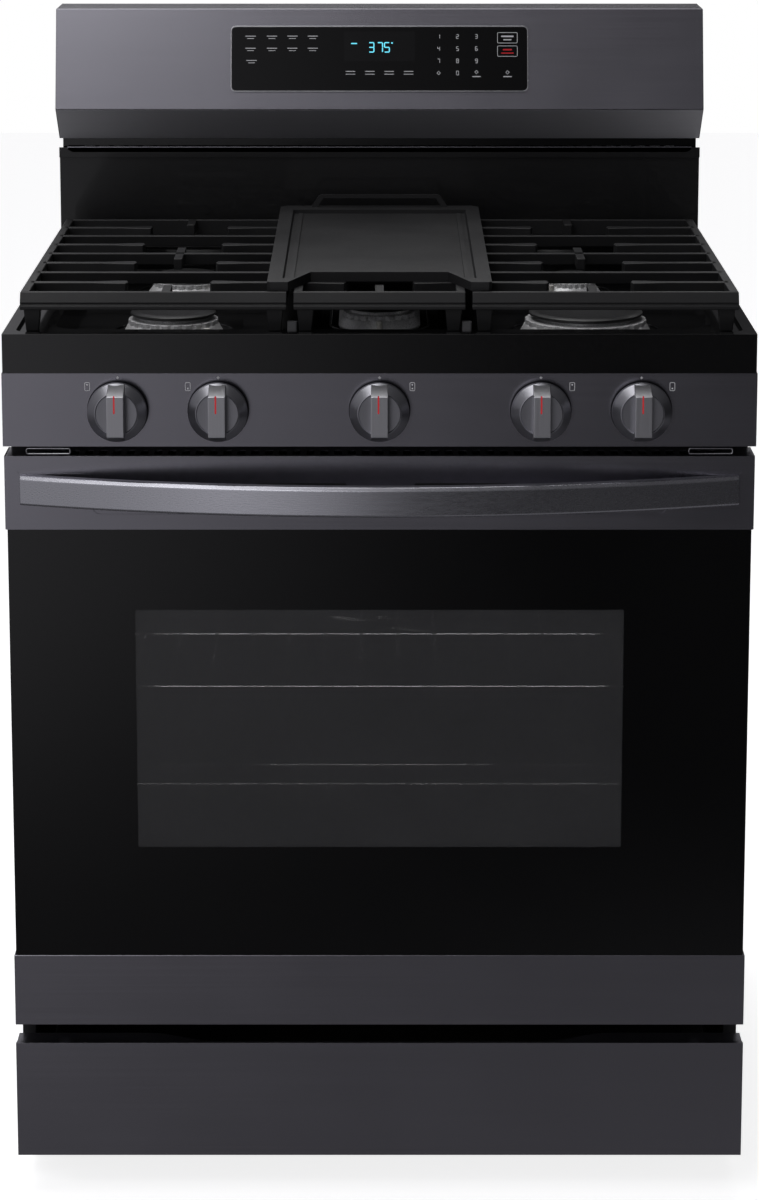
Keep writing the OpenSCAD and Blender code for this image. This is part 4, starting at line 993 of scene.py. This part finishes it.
def surround():
    """White to the camera; what surfaces reflect is brighter on the left and dark low down."""
    world = bpy.data.worlds.new("studio_world")
    bpy.context.scene.world = world
    world.use_nodes = True
    tree = world.node_tree
    place = tree.nodes.new("ShaderNodeTexCoord")
    axes = tree.nodes.new("ShaderNodeSeparateXYZ")
    tree.links.new(place.outputs["Generated"], axes.inputs["Vector"])
    x, y, z = (axes.outputs[axis] for axis in "XYZ")
    rise = ramp_node(tree, x, -0.5, -0.22, 0.5, 1.0)
    fall = ramp_node(tree, x, -0.26, 0.07, 0.7, 0.0)
    above = ramp_node(tree, z, -0.37, -0.22, 0.08, 1.0)
    in_front = ramp_node(tree, y, -0.4, 0.2, 1.0, 0.35)
    glow = math_node(tree, "MULTIPLY", math_node(tree, "MULTIPLY", rise, fall),
                     math_node(tree, "MULTIPLY", above, in_front))
    lift = ramp_node(tree, z, 0.0, 0.5, 0.022, 0.075)
    low = ramp_node(tree, z, -0.4, -0.3, 0.045, 0.0)
    low_right = math_node(tree, "MULTIPLY", ramp_node(tree, x, -0.02, 0.12, 0.0, 0.08),
                          ramp_node(tree, z, -0.4, -0.3, 1.0, 0.0))
    total = math_node(tree, "ADD", math_node(tree, "ADD", glow, lift), math_node(tree, "ADD", low, low_right))
    back = tree.nodes["Background"]
    back.inputs["Color"].default_value = (0.955, 0.945, 1.0, 1)
    tree.links.new(total, back.inputs["Strength"])
    rays = tree.nodes.new("ShaderNodeLightPath")
    white = tree.nodes.new("ShaderNodeBackground")
    white.inputs["Color"].default_value = (1, 1, 1, 1)
    mix = tree.nodes.new("ShaderNodeMixShader")
    tree.links.new(rays.outputs["Is Camera Ray"], mix.inputs["Fac"])
    tree.links.new(back.outputs["Background"], mix.inputs[1])
    tree.links.new(white.outputs["Background"], mix.inputs[2])
    tree.links.new(mix.outputs["Shader"], tree.nodes["World Output"].inputs["Surface"])


def softbox(name, place, aim, width, height, power):
    data = bpy.data.lights.new(name, "AREA")
    data.shape, data.size, data.size_y, data.energy = "RECTANGLE", width, height, power
    lamp = bpy.data.objects.new(name, data)
    bpy.context.scene.collection.objects.link(lamp)
    lamp.location = place
    lamp.rotation_euler = (Vector(aim) - Vector(place)).to_track_quat("-Z", "Y").to_euler()
    lamp.visible_camera = False


def camera():
    """Long lens from in front and above, with a little shift so that the sides stay nearly upright."""
    data = bpy.data.cameras.new("view_camera")
    cam = bpy.data.objects.new("view_camera", data)
    bpy.context.scene.collection.objects.link(cam)
    data.sensor_width = 36
    data.lens = 100.6
    data.shift_y = -0.22
    cam.location = (0, FRONT - 3.303, 1.513)
    cam.rotation_euler = (math.radians(90 - 10.31), 0, 0)
    bpy.context.scene.camera = cam


floor()
surround()
softbox("oven_glow", (0, FRONT + 0.13, 0.665), (0, FRONT + 0.2, 0.3), 0.5, 0.1, 0.6)
softbox("top_light", (-0.5, 0.5, 3.3), (0, 0, 0.9), 3.0, 2.0, 34)
softbox("front_top_light", (-1.3, -2.6, 3.4), (0, 0, 0.8), 2.0, 1.0, 12)
softbox("back_light", (0.3, 3.0, 2.6), (0, 0, 0.9), 2.6, 1.4, 8)
camera()
bpy.context.scene.view_settings.view_transform = "Standard"
